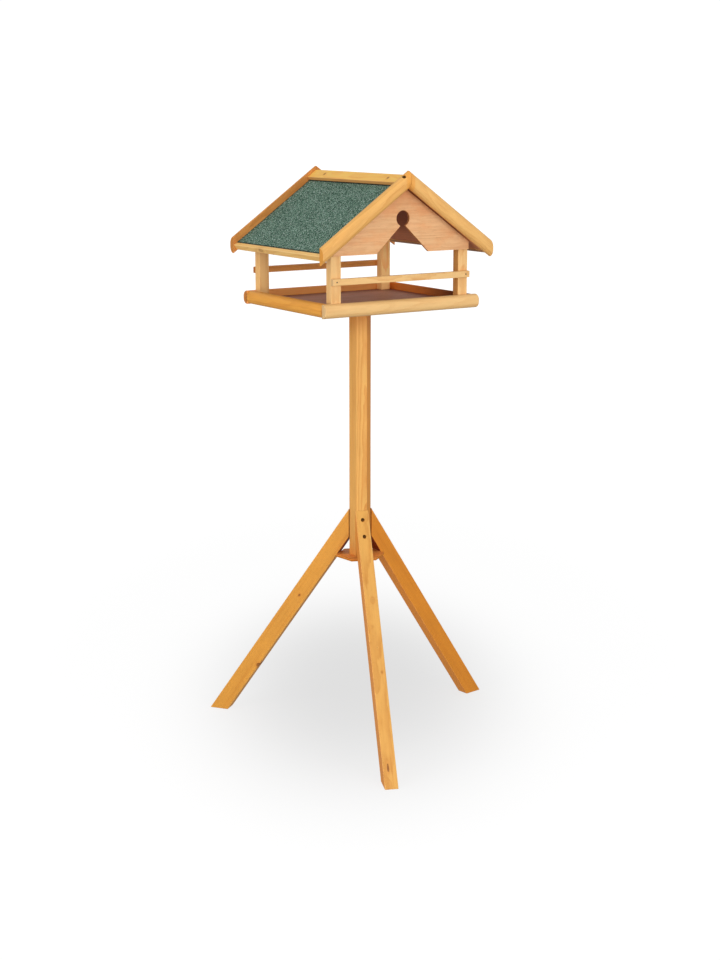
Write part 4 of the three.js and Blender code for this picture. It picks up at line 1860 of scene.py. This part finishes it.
@dataclass
class Roof:
    """Two felted plywood slopes with ridge strips, battens and rounded barge boards.

    Depths are square to a slope, from the barge boards' top edges.

    Attributes:
        eaves, gable: how far the roof stands over the tray at each side and at each end.
        felt_grid, granule, granule_height, swell: the felt's points and cells, how high its granules
            stand and how far it swells.
        felt_waver: how far its lower edge strays from a straight line.
        batten_setback: the eaves battens from the barge boards' feet.
        apex_ease, foot_ease: how far the barge boards' ends are rounded.
        screw_from_apex, screw_up_the_round, screw_sunk, screw_length, screw_tilt: the barge boards' screws.
        soaks: how far the stain went in deeper from the front barge boards' ends, in millimetres.
    """

    house: House
    eaves: float = 17.5 * MM
    gable: float = 21 * MM
    felt_depth: float = 14 * MM
    felt_thickness: float = 2 * MM
    panel_thickness: float = 9 * MM
    felt_grid: float = 1.05 * MM
    granule: float = 1.8 * MM
    granule_height: float = 0.45 * MM
    swell: float = 0.18 * MM
    felt_waver: float = 0.9 * MM
    panel_arris: float = 0.4 * MM
    strip_width: float = 27 * MM
    strip_thickness: float = 7.5 * MM
    strip_arris: float = 0.9 * MM
    nail_from_edge: float = 14 * MM
    nail_from_end: float = 52 * MM
    nail_length: float = 14 * MM
    batten_width: float = 9 * MM
    batten_height: float = 12.6 * MM
    batten_setback: float = 1.1 * MM
    batten_arris: float = 1.0 * MM
    apex_ease: float = 0.6 * MM
    foot_ease: float = 1.0 * MM
    screw_from_apex: float = 18 * MM
    screw_up_the_round: float = radians(60)
    screw_sunk: float = 2 * MM
    screw_length: float = 22 * MM
    screw_tilt: float = radians(45)
    front_timbers: dict[Side, StainedTimber] = field(default_factory=lambda: {
        Side.LEFT: StainedTimber(contrast=0.3),
        Side.RIGHT: StainedTimber((240, 186, 110), (212, 144, 72), contrast=0.28, tone=0.97),
    })
    # Painted shade: the under colours darken the back barge boards', the ridge strips' and the battens'
    # lower sides.
    back_timber: StainedTimber = StainedTimber(
        (228, 154, 78), (196, 116, 50), end=(214, 138, 60), under=(140, 82, 50)
    )
    soaks: dict[Side, float] = field(default_factory=lambda: {Side.LEFT: 8, Side.RIGHT: 2})
    strip_timber: StainedTimber = StainedTimber(
        (255, 202, 98), (242, 160, 56), under=(212, 148, 88), contrast=0.36
    )
    batten_timber: StainedTimber = StainedTimber(
        (248, 200, 120), (222, 158, 78), worn=(255, 218, 156), under=(140, 82, 50)
    )
    # Painted shade: the panels darken away from their lower edges.
    ply: VeneerPly = VeneerPly(
        pale=(206, 132, 86), deep=(164, 98, 60), flush=(182, 112, 74), gloom=(128, 60, 32),
        gloom_share=0.85, gloom_from=95, gloom_to=50, thickness=9 * MM, layers=5
    )
    felt: MineralFelt = MineralFelt()
    batten_knots: dict[Side, tuple[Knot, ...]] = field(default_factory=lambda: {
        Side.LEFT: (Knot(62, -1.5, 3.2, stretch=2.2, strength=0.5),),
    })

    @property
    def half_span(self) -> float:
        """Half the roof's span."""
        return self.house.span / 2 + self.eaves

    @property
    def inner_depth(self) -> float:
        """The depth between the barge boards' flat backs."""
        return self.house.depth + 2 * (self.gable - self.house.moulding[1])

    @property
    def length(self) -> float:
        """The length of what lies between the barge boards."""
        return self.inner_depth - 2 * self.house.gap

    @property
    def strip_top(self) -> float:
        """The ridge strips' depth."""
        return self.felt_depth - self.house.gap - self.strip_thickness

    @property
    def strip_edge(self) -> float:
        """The ridge strips' lower edges, down the slope from the apex."""
        return self.plumb(0, self.strip_top) + self.strip_width

    @property
    def batten_outer(self) -> float:
        """The battens' lower faces, down the slope from the apex."""
        return self.plumb(self.half_span - self.batten_setback, self.felt_depth)

    @property
    def edge(self) -> float:
        """The panels' lower edges, down the slope from the apex."""
        return self.batten_outer - self.batten_width - self.house.gap

    def plumb(self, from_ridge: float, depth: float) -> float:
        """Where an upright plane so far from the ridge cuts a depth, down the slope from the apex."""
        return from_ridge / cos(self.house.pitch) + depth * self.house.slope

    def slope(self, side: Side) -> Placement:
        """A slope's own axes from the apex: down the slope, square out of it, and along the ridge.

        Args:
            side: the slope's side.

        Returns:
            The axes.
        """
        pitch = self.house.pitch
        down = unit(side.value * cos(pitch), 0, -sin(pitch))
        out = unit(side.value * sin(pitch), 0, cos(pitch))
        return Placement(self.house.apex, down, out, BACKWARDS)

    def ridge_nail(self, side: Side, end: End) -> Driven:
        """A nail through a ridge strip.

        Args:
            side, end: where it is.

        Returns:
            The nail.
        """
        slope, sunk_to = self.slope(side), self.strip_top + NAIL_SUNK
        down = self.plumb(0, self.strip_top) + self.nail_from_edge
        head = slope.to_row(down, -sunk_to, end.value * (self.inner_depth / 2 - self.nail_from_end))
        length = self.nail_length - NAIL_SUNK
        return Driven.at(f"ridge_nail_{side}_{end}", NAIL, length, head, -slope.out)

    def barge_screw(self, end: End) -> Driven:
        """The screw sunk in a barge board's upper round and driven into the ridge strip's end.

        Args:
            end: its end of the house.

        Returns:
            The screw.
        """
        slope = self.slope(Side.LEFT if end is End.FRONT else Side.RIGHT)
        thickness, rounded = self.house.moulding[1], self.house.moulding_round
        proud = thickness - rounded * (1 - cos(self.screw_up_the_round))
        depth = rounded * (1 - sin(self.screw_up_the_round))
        mouth = slope.to_row(self.screw_from_apex, -depth, end.value * (self.inner_depth / 2 + proud))
        level = -end.value * cos(self.screw_tilt)
        heading = level * slope.along - sin(self.screw_tilt) * slope.out
        head = mouth + heading * self.screw_sunk
        return Driven.at(f"barge_screw_{end}", SCREW, self.screw_length, head, heading)

    def layer_outline(self, top: float, thickness: float, lower_edge: float, arris: float) -> Outline:
        """A layer's section, cut plumb at the ridge and square at its lower edge.

        Args:
            top, thickness: the depth of its upper face and its thickness.
            lower_edge: its lower edge, down the slope from the apex.
            arris: the radius of its arrises.

        Returns:
            The outline.
        """
        bottom = top + thickness
        above, below = (self.plumb(self.house.gap / 2, depth) for depth in (top, bottom))
        corners = [(below, -bottom), (lower_edge, -bottom), (lower_edge, -top), (above, -top)]
        return rounded_outline(corners, [arris] * 4)

    def build_layers(self, side: Side, holes: Fixings) -> None:
        """Makes a slope's panel, felt, ridge strip and batten.

        Args:
            side: its side.
            holes: the fasteners in the panel and the strip.
        """
        slope, cuts = self.slope(side), square_cuts(-self.length / 2, self.length / 2)
        name, half = f"roof_panel_{side}", self.panel_thickness / 2
        top = self.felt_depth + self.felt_thickness + self.house.gap
        outline = self.layer_outline(top, self.panel_thickness, self.edge, self.panel_arris)
        middle = slope.to_row(self.edge / 2, -top - half, 0)
        board = Board(name, middle, slope.along * -side.value, slope.out, self.edge / 2, half)
        hand_over(board, cut_bar(outline, slope, cuts, 0, name), self.ply, holes)

        self.build_felt(side)

        name, width, thickness = f"ridge_strip_{side}", self.strip_width, self.strip_thickness
        outline = self.layer_outline(self.strip_top, thickness, self.strip_edge, self.strip_arris)
        middle = (self.strip_edge - width / 2, -self.strip_top - thickness / 2, 0)
        board = bar_board(name, slope, middle, (width, thickness, 0), slope.out, down=slope.across)
        board = replace(board, knots=[hole.mark(board) for hole in holes if hole.kind is NAIL])
        hand_over(board, cut_bar(outline, slope, cuts, USUAL, name), self.strip_timber, holes)

        name, size = f"eaves_batten_{side}", (self.batten_width, self.batten_height, 0)
        low = (self.batten_outer - self.batten_width, -self.felt_depth - self.batten_height)
        high = (self.batten_outer, -self.felt_depth)
        shape = cut_bar(rectangle(low, high, self.batten_arris), slope, cuts, FINE, name)
        middle, knots = (*((a + b) / 2 for a, b in zip(low, high)), 0), self.batten_knots.get(side, ())
        board = bar_board(name, slope, middle, size, slope.across, down=-slope.out, knots=knots)
        hand_over(board, shape, self.batten_timber)

    def build_felt(self, side: Side) -> None:
        """Makes a slope's felt.

        The top is a grid of about one point a millimetre. Its depth follows granules scattered at
        random, one in each cell: the nearest one's middle is highest, and the sheet falls off with
        the square of the distance from it. Two crossed sine waves make it swell. The lower edge wavers
        a little, as cut by hand: random numbers are smoothed with a raised cosine 41 points wide.

        Args:
            side: its side.
        """
        name, slope, length, edge = f"roof_felt_{side}", self.slope(side), self.length, self.edge
        rng = luck(name)
        under = self.felt_depth + self.felt_thickness
        inner = self.plumb(self.house.gap / 2, under)
        columns, rows = int((edge - inner) / self.felt_grid), int(length / self.felt_grid)
        window = np.hanning(41) / 20.5
        waver = np.convolve(rng.uniform(-1, 1, rows + 40), window, "same")[20:-20] * self.felt_waver
        last = edge - self.house.gap - np.abs(waver)
        down = inner + np.linspace(0, 1, columns)[:, None] * (last[None] - inner)
        along = np.broadcast_to(np.linspace(-length / 2, length / 2, rows), down.shape)
        relief = self.granules(down, along, self.granule, rng) * self.granule_height
        slow = self.swell * (1 + np.sin(down * 55 + 1) * np.sin(along * 31)) / 2
        top = slope.to_row(down, -(self.felt_depth + relief + slow), along).reshape(-1, 3)
        places = np.arange(columns * rows).reshape(columns, rows)
        rim = np.concatenate([places[0], places[1:, -1], places[-1, -2::-1], places[-2:0:-1, 0]])
        bottom = slope.to_row(down, np.full(down.shape, -under), along).reshape(-1, 3)[rim]
        quads = np.stack([places[:-1, :-1], places[1:, :-1], places[1:, 1:], places[:-1, 1:]], axis=-1)
        low = len(top) + np.arange(len(rim))
        walls = np.stack([rim, np.roll(rim, -1), np.roll(low, -1), low], axis=1)
        shape = Shape(np.vstack([top, bottom]), [quads.reshape(-1, 4), walls, low[None]]).outward()
        middle = slope.to_row(edge / 2, -self.felt_depth, 0)
        half = self.felt_thickness / 2
        board = Board(name, middle, slope.along * -side.value, slope.out, edge / 2, half, length / 2)
        hand_over(board, shape, replace(self.felt, covered=self.strip_edge))

    @staticmethod
    def granules(u: Array, v: Array, size: float, rng: np.random.Generator) -> Array:
        """How far a felt surface lies below its highest granules, 0 to 1.

        Args:
            u, v: the surface's own coordinates.
            size: the grid in whose cells the granules lie.
            rng: the random numbers that place them.

        Returns:
            The squared distance from the nearest granule as a share of the cell, plus how far that
            one lies low itself.
        """
        cell_u, cell_v = np.floor(u / size).astype(int), np.floor(v / size).astype(int)
        low_u, low_v = cell_u.min() - 1, cell_v.min() - 1
        shape = (cell_u.max() - low_u + 2, cell_v.max() - low_v + 2)
        at_u, at_v, low = (rng.uniform(*span, shape) for span in ((0.15, 0.85), (0.15, 0.85), (0, 0.35)))
        nearest = np.full(u.shape, 9.0)
        for step_u in (-1, 0, 1):
            for step_v in (-1, 0, 1):
                i, j = cell_u - low_u + step_u, cell_v - low_v + step_v
                away_u = u / size - (cell_u + step_u + at_u[i, j])
                away_v = v / size - (cell_v + step_v + at_v[i, j])
                nearest = np.minimum(nearest, away_u**2 + away_v**2 + low[i, j])
        return np.clip(nearest, 0, 1)

    def build_barge_board(self, side: Side, end: End, holes: Fixings) -> None:
        """Makes a barge board, cut plumb at the apex and at its foot.

        Args:
            side, end: where it is.
            holes: the fasteners in it.
        """
        name, slope, tilt = f"barge_board_{end}_{side}", self.slope(side), self.house.slope
        height, thickness = self.house.moulding
        origin = slope.to_row(0, -height, end.value * self.inner_depth / 2)
        placement = Placement(origin, slope.along * end.value, slope.out, slope.across)
        apex = Cut(self.plumb(self.house.gap / 2, height), by_out=-tilt, ease=self.apex_ease)
        foot = Cut(self.plumb(self.half_span, height), by_out=-tilt, ease=self.foot_ease)
        shape = cut_bar(self.house.moulding_outline(), placement, (apex, foot), USUAL, name)
        middle = (thickness / 2, height / 2, (apex.at + foot.at) / 2)
        size = (thickness * 4, height, foot.at - apex.at)
        board = bar_board(name, placement, middle, size, placement.across, down=-placement.out)
        across = np.cross(board.face, board.grain)
        board = replace(board, skew=-tilt * float(across @ placement.out))
        timber = self.back_timber
        if end is End.FRONT:
            board, timber = replace(board, soak=self.soaks[side]), self.front_timbers[side]
        hand_over(board, shape, timber, holes)

    def build(self) -> None:
        """Makes the roof."""
        for side in Side:
            screwed_end = End.FRONT if side is Side.LEFT else End.BACK
            nails = [self.ridge_nail(side, end) for end in End]
            screw = self.barge_screw(screwed_end)
            self.build_layers(side, [*nails, screw])
            for end in End:
                self.build_barge_board(side, end, [screw] if end is screwed_end else [])
            for fastener in (*nails, screw):
                fastener.build()


# The studio


@dataclass
class Studio:
    """A pale floor, soft lights and the camera.

    Attributes:
        axis: the post's axis on the ground.
        bearing: the camera's direction from the axis, from -Y towards -X.
        pitch: how far it looks down.
        distance, height: its place from the axis.
        lens: its focal length in millimetres, for a 36 mm frame on the long side.
        seen: how bright the room behind is to the eye.
        sky, ground: the room's light from above and from below.
        floor_half: half the floor's size.
        pool_away: the middle of the painted shadow beyond the axis.
        pool_reach: its radii, across the view and along it.
        lights: each soft box's name, place from the axis, size and power.
    """

    axis: Array
    bearing: float = radians(32.79)
    pitch: float = radians(12.89)
    distance: float = 3.3146
    height: float = 1.3090
    lens: float = 60.18
    seen: float = 1.05
    sky: float = 0.64
    ground: float = 0.3
    floor_half: float = 40.0
    pool_away: float = 0.268
    pool_reach: Pair = (0.26, 0.486)
    lights: tuple[tuple[str, tuple[float, float, float], Pair, float], ...] = (
        ("key", (-0.28, -2.685, 1.2), (3.0, 1.8), 44),
        ("fill", (-2.481, -0.305, 1.0), (1.6, 2.0), 23),
    )

    @property
    def ahead(self) -> Array:
        """The level unit vector from the camera to the axis."""
        return unit(sin(self.bearing), cos(self.bearing), 0)

    @staticmethod
    def put(name: str, data: Any, place: Array, heading: Array) -> bpy.types.Object:
        """Puts a camera or a light in the scene.

        Args:
            name, data: its name and its data.
            place, heading: where it stands and the way that it looks.

        Returns:
            The object.
        """
        made = put_in_scene(name, data)
        made.location = Vector(place)
        made.rotation_mode = "QUATERNION"
        made.rotation_quaternion = Vector(heading).to_track_quat("-Z", "Y")
        return made

    def build_camera(self) -> None:
        """Makes the camera and gives it to the scene."""
        data = bpy.data.cameras.new("camera")
        data.lens = self.lens
        data.sensor_width = 36
        data.clip_end = 60
        place = self.axis - self.ahead * self.distance + UP * self.height
        heading = self.ahead * cos(self.pitch) - UP * sin(self.pitch)
        bpy.context.scene.camera = self.put("camera", data, place, heading)

    def build_light(self, name: str, place: Numbers, size: Pair, power: float) -> None:
        """Makes a soft box that looks at the stand's middle.

        Args:
            name, place: its name and its place from the axis.
            size, power: its width and height, and its power in watts.
        """
        data = bpy.data.lights.new(name, "AREA")
        data.shape = "RECTANGLE"
        data.size, data.size_y = size
        data.energy = power
        at = self.axis + unit(*place)
        self.put(name, data, at, self.axis + UP - at)

    def build_world(self) -> None:
        """Fills the room with white light: full to the eye, softer as a light and softest from below."""
        world = bpy.data.worlds.new("white_room")
        bpy.context.scene.world = world
        graph = Graph(world)
        direction = graph.node("TexCoord", {}, {}).outputs["Generated"]
        height = graph.parts(direction)[2]
        soft = graph.step(height, -0.35, 0.6) * (self.sky - self.ground) + self.ground
        white = {"Color": (1, 1, 1, 1)}
        seen = graph.node("Background", {}, white | {"Strength": self.seen})
        lit = graph.node("Background", {}, white | {"Strength": soft})
        is_eye = graph.node("LightPath", {}, {}).outputs["Is Camera Ray"]
        choice = {"Fac": is_eye, "Shader": lit.outputs[0], "Shader_001": seen.outputs[0]}
        both = graph.node("MixShader", {}, choice)
        graph.node("OutputWorld", {}, {"Surface": both.outputs[0]})

    def build_floor(self) -> None:
        """Makes the floor: white, with a soft grey shadow painted under the table.

        The painted shadow's depth falls off as exp(-r ** 2.9 / 2), r being the distance from its middle in
        its own radii. The floor sends no light back to the table.
        """
        corners = np.array([(-1, -1, 0), (1, -1, 0), (1, 1, 0), (-1, 1, 0)], float) * self.floor_half
        floor = put_in_scene("floor", Shape(corners, [np.array([[0, 1, 2, 3]])]).mesh("floor"))
        floor.visible_diffuse = False
        floor.visible_glossy = False
        graph = Graph.of_material("pale_floor")
        middle = self.axis + self.ahead * self.pool_away
        x, y, _ = graph.parts(graph.placed(middle, (0, 0, -self.bearing), (*self.pool_reach, 1)))
        square = x * x + y * y
        # Painted shadow: the floor's glow is dimmed in a soft grey patch under the table.
        painted_shadow = graph.math("EXPONENT", (square**1.45) * -0.5)
        level = 0.92 + graph.step(square, 5, 40) * 0.13 - painted_shadow * 0.25
        diffuse = graph.node("BsdfDiffuse", {}, {"Color": (0.1, 0.1, 0.1, 1)})
        glow = graph.node("Emission", {}, {"Color": (1, 1, 1, 1), "Strength": level})
        both = graph.node("AddShader", {}, {"Shader": diffuse.outputs[0], "Shader_001": glow.outputs[0]})
        graph.node("OutputMaterial", {}, {"Surface": both.outputs[0]})
        floor.data.materials.append(graph.owner)

    def build(self) -> None:
        """Makes the whole studio."""
        bpy.context.scene.view_settings.view_transform = "Standard"
        self.build_camera()
        self.build_world()
        self.build_floor()
        for light in self.lights:
            self.build_light(*light)


def main() -> None:
    """Builds the table's sub-assemblies in order, then the studio."""
    logging.basicConfig(level=logging.INFO, format="%(message)s")
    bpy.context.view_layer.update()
    low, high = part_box("post")
    axis = unit((low.x + high.x) / 2, (low.y + high.y) / 2, 0)
    house = House(axis)

    stand, tray, ends, roof = Stand(house), Tray(house), GableEnds(house), Roof(house)
    stand.build()
    tray.build([*stand.plate_screws(), *ends.floor_screws()])
    ends.build()
    roof.build()
    Studio(axis).build()


if __name__ == "__main__":
    main()
